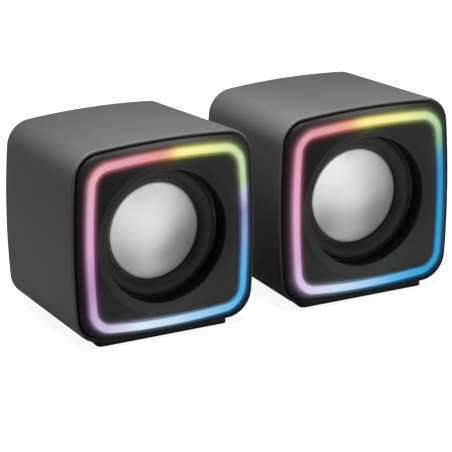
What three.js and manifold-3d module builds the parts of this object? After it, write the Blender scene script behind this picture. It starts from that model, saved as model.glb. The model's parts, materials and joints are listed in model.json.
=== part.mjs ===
// A pair of desktop cube speakers, each a moulded sleeve closed by a baffle with a light ring
// and one small full-range driver. Millimetres. X runs to the right, Y from the front to the
// back and Z up; the origin is under the middle of the pair, on the table.
import * as THREE from "three";
import Module from "manifold-3d";
import { mergeVertices } from "three/addons/utils/BufferGeometryUtils.js";

const wasm = await Module();
wasm.setup();

// ---------------------------------------------------------------- driving dimensions
// Inside one unit the origin is the middle of the baffle's flat panel, with Y into the cabinet.

const PITCH = 89.5; // between the middles of the two units
const GAP = 0.3; // between pieces that touch on the real object

// Outlines are rounded squares whose four sides bow outwards.
const CASING_FRONT = { halfWidth: 39.4, halfHeight: 38.75, bow: 2.14, corner: 10.95 };
const CASING_REAR = { halfWidth: 36.75, halfHeight: 36.6, bow: 2.1, corner: 10.3 };
const RING = { halfWidth: 33.3, halfHeight: 32.9, bow: 1.9, corner: 8.3 }; // middle of the light ring
const BASKET = { halfWidth: 27.5, halfHeight: 27.5, bow: 0.4, corner: 6 };
const CORNER_STEPS = 4;
const SIDE_STEPS = 3; // on each half of a side
const HIDDEN_SIDES = 16; // of a round piece inside the cabinet
const SEEN_SIDES = 24;

const CASING_FRONT_Y = 2.6;
const CASING_REAR_Y = 63.4;
const WALL = 2.2;
const EDGE_BEVEL = 0.8;
const LIP = 1.6; // thickness of the sleeve's rounded front lip
const LIP_DEPTH = 2.0; // from the lip's front to where the wall has its full thickness
const LEDGE_DEPTH = 2.2; // how far the rear ledge stands in from the wall
const LEDGE_Y = 58.8;
const REAR_PANEL_Y = 61.0;
const REAR_PANEL_THICKNESS = 2.0;
const BOSS_OFFSET = 28.0; // rear screw bosses, from the middle in X and Z
const BOSS_RADIUS = 4.0;
const BOSS_LENGTH = 12;
const REAR_SCREW = { head: 2.4, headHeight: 1.2, sink: 0.7, shank: 1.15, hole: 1.6, tipY: 53.0 };

const RING_HALF = 2.0; // half the width of the light ring
const RING_DEPTH = 3.6;
const GROOVE_DEPTH = 6.0;
const GROOVE_CLEARANCE = 0.2; // on each side of the light ring
const BORDER_Y = 0.5; // top of the baffle's rounded shoulder, where it meets the groove
const BAFFLE_SKIN = 1.5;
const BAFFLE_FACE = 2.2;
const BAFFLE_RIM_Y = 13;

const DISH_RADIUS = 30.2;
const BORE_RADIUS = 26.0;
const BORE_FRONT_Y = 1.3;
const BORE_REAR_Y = 8.6;
const BORE_WALL = 1.8;

const DOME_RADIUS = 19.0;
const DOME_EDGE_Y = 11.2;
const DOME_RISE = 2.4;
const SURROUND_OUTER = 25.5;
const SURROUND_INNER = 19.5;
const SURROUND_ROLL = 2.0; // how far the roll stands forward of the line between its edges
const SURROUND_THICKNESS = 0.5;
const SURROUND_OUTER_RIM = 1.6; // glued to the basket
const SURROUND_INNER_RIM = 1.3; // glued to the cone

const COIL_RADIUS = 9.6;
const COIL_OUTER_RADIUS = COIL_RADIUS + 1.0; // over the winding
const COIL_FRONT_Y = 18.0;
const COIL_REAR_Y = 31.0;
const WINDING_LENGTH = 5;
const SPIDER_Y = 21.4;
const SPIDER_OUTER = 21.2;
const BASKET_FRONT_Y = 9.7;
const BASKET_THICKNESS = 1.2;
const BASKET_BASE_Y = 25.4;
const BASKET_OPENING = 25.2;
const DRIVER_SCREW_OFFSET = 23.4; // driver screws, from the middle in X and Z
const DRIVER_SCREW = { head: 2.3, headHeight: 1.4, shank: 1.0, hole: 1.4, tipY: 4.4 };
const DRIVER_BOSS = { radius: 2.8, frontY: 1.2, holeFrontY: 3.4 };
const TOP_PLATE_Y = 26.9;
const PLATE_THICKNESS = 3.0;
const MAGNET_THICKNESS = 8.0;
const MAGNET_RADIUS = 22.5;
const MAGNET_HOLE = 13;
const TOP_PLATE_RADIUS = 21;
const POLE_RADIUS = COIL_RADIUS - 0.7;
const TERMINAL_Z = -27.2;
const LEAD_RADIUS = 0.9;

const FOOT_FRONT = { halfWidth: 28, y: 4.2 }; // the foot narrows towards the back, as the sleeve does
const FOOT_REAR = { halfWidth: 22, y: 56 };
const FOOT_DROP = 1.2; // below the lowest line of the sleeve
const FOOT_HEIGHT = 5;
const FOOT_BEVEL = 0.5; // round the tread

const GROMMET_RADIUS = 4.0;
const GROMMET_LENGTH = 3.4; // behind the rear panel
const GROMMET_BARB = 2.6; // in front of the rear panel
const CORD_HOLE_RADIUS = 1.7;
const CORD_GROMMET_AT = { x: -17, z: -22 };
const LINK_GROMMET_AT = { x: 17, z: -22 };

const KNOB_AT = { x: 0, z: 9 };
const KNOB_RADIUS = 9.0;
const KNOB_LENGTH = 8.5;
const KNOB_REST_TURN = 150; // degrees from upright to the pointer's place at zero volume
const KNOB_RECESS = { radius: 7.0, depth: 2.6 }; // room under the knob for the pot's nut
const SHAFT_RADIUS = 3.0;
const SHAFT_SEAT = 4; // from the front of the pot's body to the shaft's end
const KNOB_FACE = 2.0; // thickness of the knob over the shaft's end
const COLLAR_RADIUS = 3.8; // threaded collar of the pot
const NUT = { radius: 6.2, thickness: 1.6 }; // radius to its corners
const BUTTON_AT = { x: 0, z: -12 };
const BUTTON_RADIUS = 3.4;
const BUTTON_FLANGE = 1.0;
const BUTTON_STANDS_OUT = 1.4;
const BUTTON_TRAVEL = 0.8;
const BEHIND_PANEL = 1.6; // from the rear panel's inner face to the parts that stand behind it
const BOARD = { halfWidth: 24, halfHeight: 19, y: 47.4, thickness: 1.6, z: -2 };

const RING_CREST_Y = -0.3;
const REAR_FACE_Y = REAR_PANEL_Y + REAR_PANEL_THICKNESS;
const KNOB_FRONT_Y = REAR_FACE_Y + 2 * GAP;
const UNIT_Y = -(RING_CREST_Y + KNOB_FRONT_Y + KNOB_LENGTH) / 2; // centres the pair front to back
const UNIT_Z = CASING_FRONT.halfHeight + FOOT_DROP;

// ---------------------------------------------------------------- materials

const material = (color, roughness, metalness = 0) =>
  new THREE.MeshStandardMaterial({ color, roughness, metalness });
const casingPlastic = material(0x3b3b3c, 0.55);
const bafflePlastic = material(0x2c2c2d, 0.45);
const lightGuide = material(0xe8d8e8, 0.3);
const silver = material(0xb9b9b9, 0.35, 0.8);
const blackRubber = material(0x151515, 0.8);
const paper = material(0x2a2724, 0.9);
const spiderCloth = material(0x9a7b3c, 0.9);
const copper = material(0xa4552b, 0.4, 0.9);
const steel = material(0x8d8f91, 0.4, 0.9);
const ferrite = material(0x2a2a2c, 0.7);
const blackSteel = material(0x1b1b1c, 0.45, 0.7);
const boardGreen = material(0x1d5a35, 0.6);
const blackPlastic = material(0x1a1a1b, 0.5);

// ---------------------------------------------------------------- shape helpers

// The three arcs of one quarter of a bowed rounded square: right side, corner, top side.
function quarterArcs({ halfWidth, halfHeight, bow, corner }) {
  const halfSide = Math.max(halfWidth, halfHeight);
  const bowRadius = (halfSide ** 2 + bow ** 2) / (2 * bow);
  const sideX = halfWidth - bowRadius;
  const topZ = halfHeight - bowRadius;
  const reach = bowRadius - corner;
  let cornerX = halfWidth - corner;
  let cornerZ = halfHeight - corner;
  for (let pass = 0; pass < 30; pass += 1) {
    cornerX = sideX + Math.sqrt(reach ** 2 - cornerZ ** 2);
    cornerZ = topZ + Math.sqrt(reach ** 2 - cornerX ** 2);
  }
  const sideEnd = Math.atan2(cornerZ, cornerX - sideX);
  const topStart = Math.atan2(cornerZ - topZ, cornerX);
  return [
    { x: sideX, z: 0, radius: bowRadius, from: 0, to: sideEnd, steps: SIDE_STEPS },
    { x: cornerX, z: cornerZ, radius: corner, from: sideEnd, to: topStart, steps: CORNER_STEPS },
    { x: 0, z: topZ, radius: bowRadius, from: topStart, to: Math.PI / 2, steps: SIDE_STEPS },
  ];
}

// The closed outline at depth y, moved in by inset; every outline has the same number of points.
function outlineLoop(outline, inset, y) {
  const quarter = [];
  for (const arc of quarterArcs(outline)) {
    for (let step = 0; step < arc.steps; step += 1) {
      const angle = arc.from + ((arc.to - arc.from) * step) / arc.steps;
      const radius = arc.radius - inset;
      quarter.push([arc.x + radius * Math.cos(angle), arc.z + radius * Math.sin(angle)]);
    }
  }
  const top = [0, outline.halfHeight - inset];
  const half = [...quarter, top, ...quarter.slice(1).reverse().map(([x, z]) => [-x, z])];
  const below = half.map(([x, z]) => [-x, -z]);
  return [...half, ...below].map(([x, z]) => new THREE.Vector3(x, y, z));
}

// A circle with one point in the direction of each point of an outline.
function circleLoop(radius, y, outline = RING) {
  return outlineLoop(outline, 0, y).map(({ x, z }) => {
    const scale = radius / Math.hypot(x, z);
    return new THREE.Vector3(x * scale, y, z * scale);
  });
}

// The sleeve's outline at depth y, between its front and rear ends.
function casingLoop(inset, y) {
  const share = (y - CASING_FRONT_Y) / (CASING_REAR_Y - CASING_FRONT_Y);
  const outline = {};
  for (const key of Object.keys(CASING_FRONT)) {
    outline[key] = THREE.MathUtils.lerp(CASING_FRONT[key], CASING_REAR[key], share);
  }
  return outlineLoop(outline, inset, y);
}

function geometryFrom(points, triangles) {
  let volume = 0;
  for (const [a, b, c] of triangles) {
    volume += points[a].dot(new THREE.Vector3().crossVectors(points[b], points[c]));
  }
  const facingOut = volume > 0 ? triangles : triangles.map(([a, b, c]) => [a, c, b]);
  const geometry = new THREE.BufferGeometry();
  const coordinates = points.flatMap((point) => point.toArray());
  geometry.setAttribute("position", new THREE.Float32BufferAttribute(coordinates, 3));
  geometry.setIndex(facingOut.flat());
  return geometry;
}

function bandsBetween(loops, closed) {
  const count = loops[0].length;
  const triangles = [];
  const last = closed ? loops.length : loops.length - 1;
  for (let row = 0; row < last; row += 1) {
    const here = row * count;
    const next = ((row + 1) % loops.length) * count;
    for (let column = 0; column < count; column += 1) {
      const beside = (column + 1) % count;
      triangles.push([here + column, here + beside, next + column]);
      triangles.push([here + beside, next + beside, next + column]);
    }
  }
  return triangles;
}

// A hollow frame: the corners of its cross-section are the loops, taken all the way round.
function frameGeometry(loops) {
  return geometryFrom(loops.flat(), bandsBetween(loops, true));
}

// A solid block between the first and last loops.
function blockGeometry(loops) {
  const count = loops[0].length;
  const points = loops.flat();
  const triangles = bandsBetween(loops, false);
  const frontMiddle = points.push(middleOf(loops[0])) - 1;
  const rearMiddle = points.push(middleOf(loops.at(-1))) - 1;
  const rear = (loops.length - 1) * count;
  for (let column = 0; column < count; column += 1) {
    const beside = (column + 1) % count;
    triangles.push([frontMiddle, beside, column]);
    triangles.push([rearMiddle, rear + column, rear + beside]);
  }
  return geometryFrom(points, triangles);
}

function middleOf(loop) {
  const sum = new THREE.Vector3();
  loop.forEach((point) => sum.add(point));
  return sum.divideScalar(loop.length);
}

// Turns a list of [radius, y] corners round the Y axis; one off the axis is closed on itself.
function turned(profile, segments = HIDDEN_SIDES) {
  const onAxis = profile[0][0] === 0 && profile.at(-1)[0] === 0;
  const closed = onAxis ? profile : [...profile, profile[0]];
  const corners = closed.map(([radius, y]) => new THREE.Vector2(radius, y));
  const signed = corners.reduce((sum, p, i) => {
    const q = corners[(i + 1) % corners.length];
    return sum + p.x * q.y - q.x * p.y;
  }, 0);
  return new THREE.LatheGeometry(signed > 0 ? corners : corners.reverse(), segments);
}

const tube = (inner, outer, from, to, segments) =>
  turned([[inner, from], [outer, from], [outer, to], [inner, to]], segments);
const rod = (radius, from, to, segments) =>
  turned([[0, from], [radius, from], [radius, to], [0, to]], segments);

function boxGeometry([x0, x1], [y0, y1], [z0, z1]) {
  const box = new THREE.BoxGeometry(x1 - x0, y1 - y0, z1 - z0);
  return box.translate((x0 + x1) / 2, (y0 + y1) / 2, (z0 + z1) / 2);
}

// Manifold solids only join and cut.
function solidOf(geometry) {
  const bare = geometry.clone();
  bare.deleteAttribute("normal");
  bare.deleteAttribute("uv");
  const merged = mergeVertices(bare, 1e-4);
  const vertProperties = merged.attributes.position.array;
  const triVerts = new Uint32Array(merged.index.array);
  return new wasm.Manifold(new wasm.Mesh({ numProp: 3, vertProperties, triVerts }));
}

function geometryOf(solid) {
  const { vertProperties, triVerts } = solid.getMesh();
  const geometry = new THREE.BufferGeometry();
  geometry.setAttribute("position", new THREE.BufferAttribute(vertProperties, 3));
  geometry.setIndex(new THREE.BufferAttribute(triVerts, 1));
  return geometry;
}

function shaped(base, { joined = [], cut = [] }) {
  let solid = solidOf(base);
  joined.forEach((piece) => (solid = solid.add(solidOf(piece))));
  cut.forEach((piece) => (solid = solid.subtract(solidOf(piece))));
  return geometryOf(solid);
}

const CORNERS = [[-1, 1], [1, 1], [1, -1], [-1, -1]];

// One copy of a piece at each corner of a square about the middle.
const atCorners = (offset, make) =>
  CORNERS.map(([x, z]) => make().translate(x * offset, 0, z * offset));

function addMesh(group, name, geometry, look) {
  const mesh = new THREE.Mesh(geometry, look);
  mesh.name = name;
  mesh.geometry.computeVertexNormals();
  group.add(mesh);
  return mesh;
}

// ---------------------------------------------------------------- cabinet

function cabinetShell() {
  const sleeve = frameGeometry([
    casingLoop(WALL, CASING_REAR_Y),
    casingLoop(EDGE_BEVEL, CASING_REAR_Y),
    casingLoop(0, CASING_REAR_Y - EDGE_BEVEL),
    casingLoop(0, CASING_FRONT_Y + 1.5 * EDGE_BEVEL),
    casingLoop(EDGE_BEVEL, CASING_FRONT_Y),
    casingLoop(LIP, CASING_FRONT_Y + 0.2),
    casingLoop(WALL, CASING_FRONT_Y + LIP_DEPTH),
    casingLoop(WALL, LEDGE_Y),
    casingLoop(WALL + LEDGE_DEPTH, LEDGE_Y),
    casingLoop(WALL + LEDGE_DEPTH, REAR_PANEL_Y - GAP),
    casingLoop(WALL, REAR_PANEL_Y - GAP),
  ]);
  const rear = REAR_PANEL_Y - GAP;
  const front = rear - BOSS_LENGTH;
  const bosses = atCorners(BOSS_OFFSET, () => rod(BOSS_RADIUS, front, rear, 8));
  const holes = atCorners(BOSS_OFFSET, () => rod(REAR_SCREW.hole, front + 2, rear + 1, 6));
  return shaped(sleeve, { joined: bosses, cut: holes });
}

function frontBaffle() {
  const grooveHalf = RING_HALF + GROOVE_CLEARANCE;
  const backY = GROOVE_DEPTH + BAFFLE_SKIN;
  const boreOuter = BORE_RADIUS + BORE_WALL;
  const rimInset = WALL + GAP;
  const plate = frameGeometry([
    casingLoop(LIP + 0.4, CASING_FRONT_Y + 0.1),
    outlineLoop(RING, -grooveHalf - 1.2, BORDER_Y + 1),
    outlineLoop(RING, -grooveHalf - 0.7, BORDER_Y + 0.3),
    outlineLoop(RING, -grooveHalf, BORDER_Y),
    outlineLoop(RING, -grooveHalf, GROOVE_DEPTH),
    outlineLoop(RING, grooveHalf, GROOVE_DEPTH),
    outlineLoop(RING, grooveHalf, 0),
    circleLoop(DISH_RADIUS, 0),
    circleLoop(BORE_RADIUS, BORE_FRONT_Y),
    circleLoop(BORE_RADIUS, BORE_REAR_Y),
    circleLoop(boreOuter, BORE_REAR_Y),
    circleLoop(boreOuter, BAFFLE_FACE),
    outlineLoop(RING, grooveHalf + BAFFLE_SKIN, BAFFLE_FACE),
    outlineLoop(RING, grooveHalf + BAFFLE_SKIN, backY),
    casingLoop(rimInset + 1.6, backY),
    casingLoop(rimInset + 1.6, BAFFLE_RIM_Y),
    casingLoop(rimInset, BAFFLE_RIM_Y),
    casingLoop(rimInset, CASING_FRONT_Y + LIP_DEPTH + 0.2),
  ]);
  const rear = BASKET_FRONT_Y - GAP;
  const { radius, frontY, holeFrontY } = DRIVER_BOSS;
  const bosses = atCorners(DRIVER_SCREW_OFFSET, () => rod(radius, frontY, rear, 8));
  const holes = atCorners(DRIVER_SCREW_OFFSET, () => rod(DRIVER_SCREW.hole, holeFrontY, rear + 1, 6));
  return shaped(plate, { joined: bosses, cut: holes });
}

function lightRing() {
  return frameGeometry([
    outlineLoop(RING, RING_HALF, 0.2),
    outlineLoop(RING, 0.9, RING_CREST_Y),
    outlineLoop(RING, -0.7, RING_CREST_Y + 0.1),
    outlineLoop(RING, -RING_HALF, BORDER_Y),
    outlineLoop(RING, -RING_HALF, RING_DEPTH),
    outlineLoop(RING, RING_HALF, RING_DEPTH),
  ]);
}

// A strip behind the ring with two chips on each side.
function ledBoard() {
  const chip = { along: 14, half: 1.4 };
  const rear = GROOVE_DEPTH - GAP;
  const front = rear - 1;
  const half = RING_HALF - 0.2;
  const strip = frameGeometry([
    outlineLoop(RING, half, front),
    outlineLoop(RING, -half, front),
    outlineLoop(RING, -half, rear),
    outlineLoop(RING, half, rear),
  ]);
  const chips = [];
  const chipY = [RING_DEPTH + GAP, front + GAP];
  for (const along of [-chip.along, chip.along]) {
    const alongChip = [along - chip.half, along + chip.half];
    for (const side of [-1, 1]) {
      const x = side * RING.halfWidth;
      const z = side * RING.halfHeight;
      chips.push(boxGeometry([x - 1.3, x + 1.1], chipY, alongChip));
      chips.push(boxGeometry(alongChip, chipY, [z - 1.1, z + 1.1]));
    }
  }
  return shaped(strip, { joined: chips });
}

function rearPanel(openings) {
  const inset = WALL + GAP;
  const plate = blockGeometry([casingLoop(inset, REAR_PANEL_Y), casingLoop(inset, REAR_FACE_Y)]);
  const through = (radius, segments) => rod(radius, REAR_PANEL_Y - 1, REAR_FACE_Y + 1, segments);
  const holes = atCorners(BOSS_OFFSET, () => through(REAR_SCREW.hole, 6));
  const sink = () => rod(REAR_SCREW.head + 0.5, REAR_FACE_Y - 1, REAR_FACE_Y + 1, 8);
  const sinks = atCorners(BOSS_OFFSET, sink);
  const larger = openings.map(({ at, radius }) => through(radius, 12).translate(at.x, 0, at.z));
  return shaped(plate, { cut: [...holes, ...sinks, ...larger] });
}

function baseFoot() {
  const bottom = -UNIT_Z;
  const level = (inset, z) => [
    new THREE.Vector3(-FOOT_FRONT.halfWidth + inset, FOOT_FRONT.y + inset, z),
    new THREE.Vector3(FOOT_FRONT.halfWidth - inset, FOOT_FRONT.y + inset, z),
    new THREE.Vector3(FOOT_REAR.halfWidth - inset, FOOT_REAR.y - inset, z),
    new THREE.Vector3(-FOOT_REAR.halfWidth + inset, FOOT_REAR.y - inset, z),
  ];
  const pad = blockGeometry([
    level(FOOT_BEVEL, bottom),
    level(0, bottom + FOOT_BEVEL),
    level(0, bottom + FOOT_HEIGHT),
  ]);
  const clearance = blockGeometry([casingLoop(-GAP, CASING_FRONT_Y - 1), casingLoop(-GAP, CASING_REAR_Y)]);
  return shaped(pad, { cut: [clearance] });
}

// A bush with a flange outside and a barb inside, and a hole for a cord.
function grommet({ x, z }) {
  const front = REAR_PANEL_Y - GROMMET_BARB;
  const rear = REAR_FACE_Y + GROMMET_LENGTH;
  const neck = GROMMET_RADIUS;
  const bush = turned([
    [CORD_HOLE_RADIUS, front],
    [neck + 0.2, front],
    [neck + 0.9, REAR_PANEL_Y - GAP],
    [neck, REAR_PANEL_Y - GAP],
    [neck, REAR_FACE_Y + GAP],
    [neck + 1.6, REAR_FACE_Y + GAP],
    [neck + 1.0, REAR_FACE_Y + 2.2],
    [CORD_HOLE_RADIUS + 0.6, rear],
    [CORD_HOLE_RADIUS, rear],
  ], 12);
  return bush.translate(x, 0, z);
}

function screw({ head, headHeight, shank, tipY }, headFront) {
  const headRear = headFront + headHeight;
  return turned([
    [0, tipY],
    [shank, tipY + 0.6],
    [shank, headFront],
    [head, headFront],
    [head * 0.8, headRear],
    [0, headRear],
  ], 6);
}

function addScrews(group, prefix, kind, headFront, offset, look) {
  CORNERS.forEach(([x, z], index) => {
    const fastener = addMesh(group, `${prefix}_${index + 1}`, screw(kind, headFront), look);
    fastener.position.set(x * offset, 0, z * offset);
  });
}

function addCabinet(unit, name, openings) {
  addMesh(unit, `${name}_cabinet_shell`, cabinetShell(), casingPlastic);
  addMesh(unit, `${name}_front_baffle`, frontBaffle(), bafflePlastic);
  addMesh(unit, `${name}_light_ring`, lightRing(), lightGuide);
  addMesh(unit, `${name}_led_board`, ledBoard(), boardGreen);
  addMesh(unit, `${name}_rear_panel`, rearPanel(openings), blackPlastic);
  addMesh(unit, `${name}_base_foot`, baseFoot(), blackRubber);
  addMesh(unit, `${name}_cable_grommet`, grommet(CORD_GROMMET_AT), blackRubber);
  const headFront = REAR_FACE_Y - REAR_SCREW.sink;
  addScrews(unit, `${name}_rear_screw`, REAR_SCREW, headFront, BOSS_OFFSET, blackSteel);
}

// ---------------------------------------------------------------- driver

function driverBasket() {
  const wall = BASKET_THICKNESS;
  const flangeRear = BASKET_FRONT_Y + wall;
  const flange = frameGeometry([
    outlineLoop(BASKET, 0, BASKET_FRONT_Y),
    outlineLoop(BASKET, 0, flangeRear),
    circleLoop(BASKET_OPENING, flangeRear, BASKET),
    circleLoop(BASKET_OPENING, BASKET_FRONT_Y, BASKET),
  ]);
  const bowl = turned([
    [25.0, flangeRear - 0.8],
    [26.4, flangeRear - 0.8],
    [23.4, SPIDER_Y],
    [22.6, BASKET_BASE_Y + wall],
    [12.2, BASKET_BASE_Y + wall],
    [12.2, BASKET_BASE_Y],
    [18.6, BASKET_BASE_Y],
    [19.0, SPIDER_Y + 0.6],
    [21.6, SPIDER_Y + 0.6],
  ]);
  const window = boxGeometry([-7, 7], [13, 19.5], [10, 30]);
  const windows = [0, 1, 2, 3].map((turn) => window.clone().rotateY((turn * Math.PI) / 2));
  const hole = () => rod(DRIVER_SCREW.hole, BASKET_FRONT_Y - 1, flangeRear + 1, 8);
  const holes = atCorners(DRIVER_SCREW_OFFSET, hole);
  return shaped(flange, { joined: [bowl], cut: [...windows, ...holes] });
}

// The roll's middle line, from the outer edge in, bowed towards the front.
function rollPoints(steps) {
  const outer = [SURROUND_OUTER, BORE_REAR_Y + GAP];
  const inner = [SURROUND_INNER, DOME_EDGE_Y + GAP];
  const points = [];
  for (let step = 0; step <= steps; step += 1) {
    const share = step / steps;
    const lift = SURROUND_ROLL * Math.sin(Math.PI * share);
    const radius = THREE.MathUtils.lerp(outer[0], inner[0], (1 - Math.cos(Math.PI * share)) / 2);
    points.push([radius, THREE.MathUtils.lerp(outer[1], inner[1], share) - lift]);
  }
  return points;
}

function surround() {
  const front = rollPoints(5);
  const rear = front.map(([radius, y]) => [radius, y + SURROUND_THICKNESS]).reverse();
  const [, outerY] = front[0];
  const [, innerY] = front.at(-1);
  const outerRim = SURROUND_OUTER + SURROUND_OUTER_RIM;
  const innerRim = SURROUND_INNER - SURROUND_INNER_RIM;
  return turned([
    [outerRim, outerY],
    ...front,
    [innerRim, innerY],
    [innerRim, innerY + SURROUND_THICKNESS],
    ...rear,
    [outerRim, outerY + SURROUND_THICKNESS],
  ], SEEN_SIDES);
}

// A corrugated disc that centres the voice coil.
function spider() {
  const steps = 4;
  const thickness = 0.5;
  const waveHeight = 1.1;
  const front = [];
  for (let step = 0; step <= steps; step += 1) {
    const radius = THREE.MathUtils.lerp(COIL_OUTER_RADIUS, SPIDER_OUTER, step / steps);
    const wave = step % 2 === 0 ? 0 : waveHeight;
    front.push([radius, SPIDER_Y - 0.4 - wave]);
  }
  const rear = front.map(([radius, y]) => [radius, y + thickness]).reverse();
  return turned([...front, ...rear]);
}

function dustDome() {
  const thickness = 0.5;
  const steps = 4;
  const sphere = (DOME_RADIUS ** 2 + DOME_RISE ** 2) / (2 * DOME_RISE);
  const crest = DOME_EDGE_Y - DOME_RISE;
  const rimRear = DOME_EDGE_Y + 0.1;
  const skin = (offset) => {
    const points = [];
    for (let step = 0; step <= steps; step += 1) {
      const radius = ((DOME_RADIUS - offset) * step) / steps;
      const y = crest + sphere - Math.sqrt(sphere ** 2 - radius ** 2) + offset;
      points.push([radius, Math.min(y, rimRear)]);
    }
    return points;
  };
  return turned([...skin(0), [DOME_RADIUS, rimRear], ...skin(thickness).reverse()], SEEN_SIDES);
}

function cone() {
  const board = 0.6; // thickness
  const frontY = DOME_EDGE_Y + 2 * GAP + SURROUND_THICKNESS + 0.1;
  const neckY = COIL_FRONT_Y + 1;
  const rim = DOME_RADIUS + 0.1;
  return turned([
    [rim, frontY],
    [rim, frontY + board],
    [COIL_OUTER_RADIUS, neckY + board],
    [COIL_OUTER_RADIUS, neckY],
    [rim - 1.3, frontY],
  ]);
}

function voiceCoil() {
  const former = COIL_RADIUS + 0.7;
  const windingFront = COIL_REAR_Y - WINDING_LENGTH;
  return turned([
    [COIL_RADIUS, COIL_FRONT_Y],
    [former, COIL_FRONT_Y],
    [former, windingFront],
    [COIL_OUTER_RADIUS, windingFront],
    [COIL_OUTER_RADIUS, COIL_REAR_Y],
    [COIL_RADIUS, COIL_REAR_Y],
  ]);
}

function poleYoke() {
  const front = TOP_PLATE_Y + PLATE_THICKNESS + MAGNET_THICKNESS + 2 * GAP;
  const rear = front + PLATE_THICKNESS;
  return turned([
    [0, TOP_PLATE_Y],
    [POLE_RADIUS, TOP_PLATE_Y],
    [POLE_RADIUS, front],
    [TOP_PLATE_RADIUS, front],
    [TOP_PLATE_RADIUS, rear],
    [0, rear],
  ]);
}

// Two solder tags on a small board, at the bottom of the basket's flange.
function terminalStrip() {
  const front = BASKET_FRONT_Y + BASKET_THICKNESS + GAP;
  const base = boxGeometry([-6, 6], [front, front + 1], [TERMINAL_Z - 0.5, TERMINAL_Z + 1]);
  const tags = [-3.5, 3.5].map((x) =>
    boxGeometry([x - 1, x + 1], [front, front + 6], [TERMINAL_Z - 0.8, TERMINAL_Z - 0.1]));
  return shaped(base, { joined: tags });
}

// A thin twin lead from the tags to where it comes in at the back of the cabinet.
function driverLead(end) {
  const path = new THREE.CatmullRomCurve3([
    new THREE.Vector3(0, BASKET_FRONT_Y + BASKET_THICKNESS + 2.2, TERMINAL_Z - 0.2),
    new THREE.Vector3(0, 20, TERMINAL_Z - 1.2),
    new THREE.Vector3(end.x * 0.4, 34, TERMINAL_Z - 0.6),
    new THREE.Vector3(end.x * 0.9, 46, (TERMINAL_Z + end.z) / 2),
    new THREE.Vector3(end.x, end.y, end.z),
  ]);
  const section = new THREE.Shape().absellipse(0, 0, LEAD_RADIUS, LEAD_RADIUS, 0, Math.PI * 2);
  return new THREE.ExtrudeGeometry(section, { steps: 8, extrudePath: path, curveSegments: 2 });
}

function addDriver(unit, name, leadEnd) {
  const driver = new THREE.Group();
  unit.add(driver);
  addMesh(driver, `${name}_driver_basket`, driverBasket(), blackSteel);
  addMesh(driver, `${name}_surround`, surround(), blackRubber);
  addMesh(driver, `${name}_spider`, spider(), spiderCloth);
  addMesh(driver, `${name}_dust_dome`, dustDome(), silver);
  addMesh(driver, `${name}_cone`, cone(), paper);
  addMesh(driver, `${name}_voice_coil`, voiceCoil(), copper);
  const plateRear = TOP_PLATE_Y + PLATE_THICKNESS;
  const topPlate = tube(COIL_OUTER_RADIUS + 0.8, TOP_PLATE_RADIUS, TOP_PLATE_Y, plateRear);
  addMesh(driver, `${name}_top_plate`, topPlate, steel);
  const magnetFront = plateRear + GAP;
  const magnet = tube(MAGNET_HOLE, MAGNET_RADIUS, magnetFront, magnetFront + MAGNET_THICKNESS);
  addMesh(driver, `${name}_magnet`, magnet, ferrite);
  addMesh(driver, `${name}_pole_yoke`, poleYoke(), steel);
  addMesh(driver, `${name}_terminal_strip`, terminalStrip(), blackPlastic);
  addMesh(driver, `${name}_driver_lead`, driverLead(leadEnd), blackRubber);
  const headFront = BASKET_FRONT_Y + BASKET_THICKNESS + GAP;
  addScrews(driver, `${name}_driver_screw`, DRIVER_SCREW, headFront, DRIVER_SCREW_OFFSET, steel);
}

// ---------------------------------------------------------------- controls of the right unit

// The board hangs on the pot, whose collar is clamped to the rear panel by its nut.
function amplifierBoard() {
  const { halfWidth, halfHeight, y, thickness, z } = BOARD;
  const height = [z - halfHeight, z + halfHeight];
  const plate = boxGeometry([-halfWidth, halfWidth], [y, y + thickness], height);
  const capacitors = [-17, -9].map((x) => rod(3, y + 1, y + 8.5, 10).translate(x, 0, z - 11));
  const chip = boxGeometry([8, 17], [y + 1, y + 3], [z - 9, z - 2]);
  const socket = boxGeometry([13, 21], [y + 1, y + 6.5], [z + 8, z + 14]);
  return shaped(plate, { joined: [...capacitors, chip, socket] });
}

function volumePot() {
  const half = 6;
  const front = BOARD.y + BOARD.thickness + GAP;
  const bodyRear = REAR_PANEL_Y - BEHIND_PANEL;
  const body = boxGeometry([-half, half], [front, bodyRear], [-half, half]);
  const bore = SHAFT_RADIUS + GAP;
  const collar = tube(bore, COLLAR_RADIUS, bodyRear - 0.6, REAR_FACE_Y + NUT.thickness + GAP, 16);
  const bearing = rod(bore, front + SHAFT_SEAT, REAR_PANEL_Y, 16);
  return shaped(body, { joined: [collar], cut: [bearing] }).translate(KNOB_AT.x, 0, KNOB_AT.z);
}

function potNut() {
  const front = REAR_FACE_Y + GAP;
  const flatsToCorners = 1 / Math.cos(Math.PI / 6);
  const hole = (COLLAR_RADIUS + GAP) * flatsToCorners;
  const nut = tube(hole, NUT.radius, front, front + NUT.thickness, 6);
  return nut.translate(KNOB_AT.x, 0, KNOB_AT.z);
}

function potShaft() {
  const front = BOARD.y + BOARD.thickness + 2 * GAP + SHAFT_SEAT;
  return rod(SHAFT_RADIUS, front, KNOB_FRONT_Y + KNOB_LENGTH - KNOB_FACE - GAP, 12);
}

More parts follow.
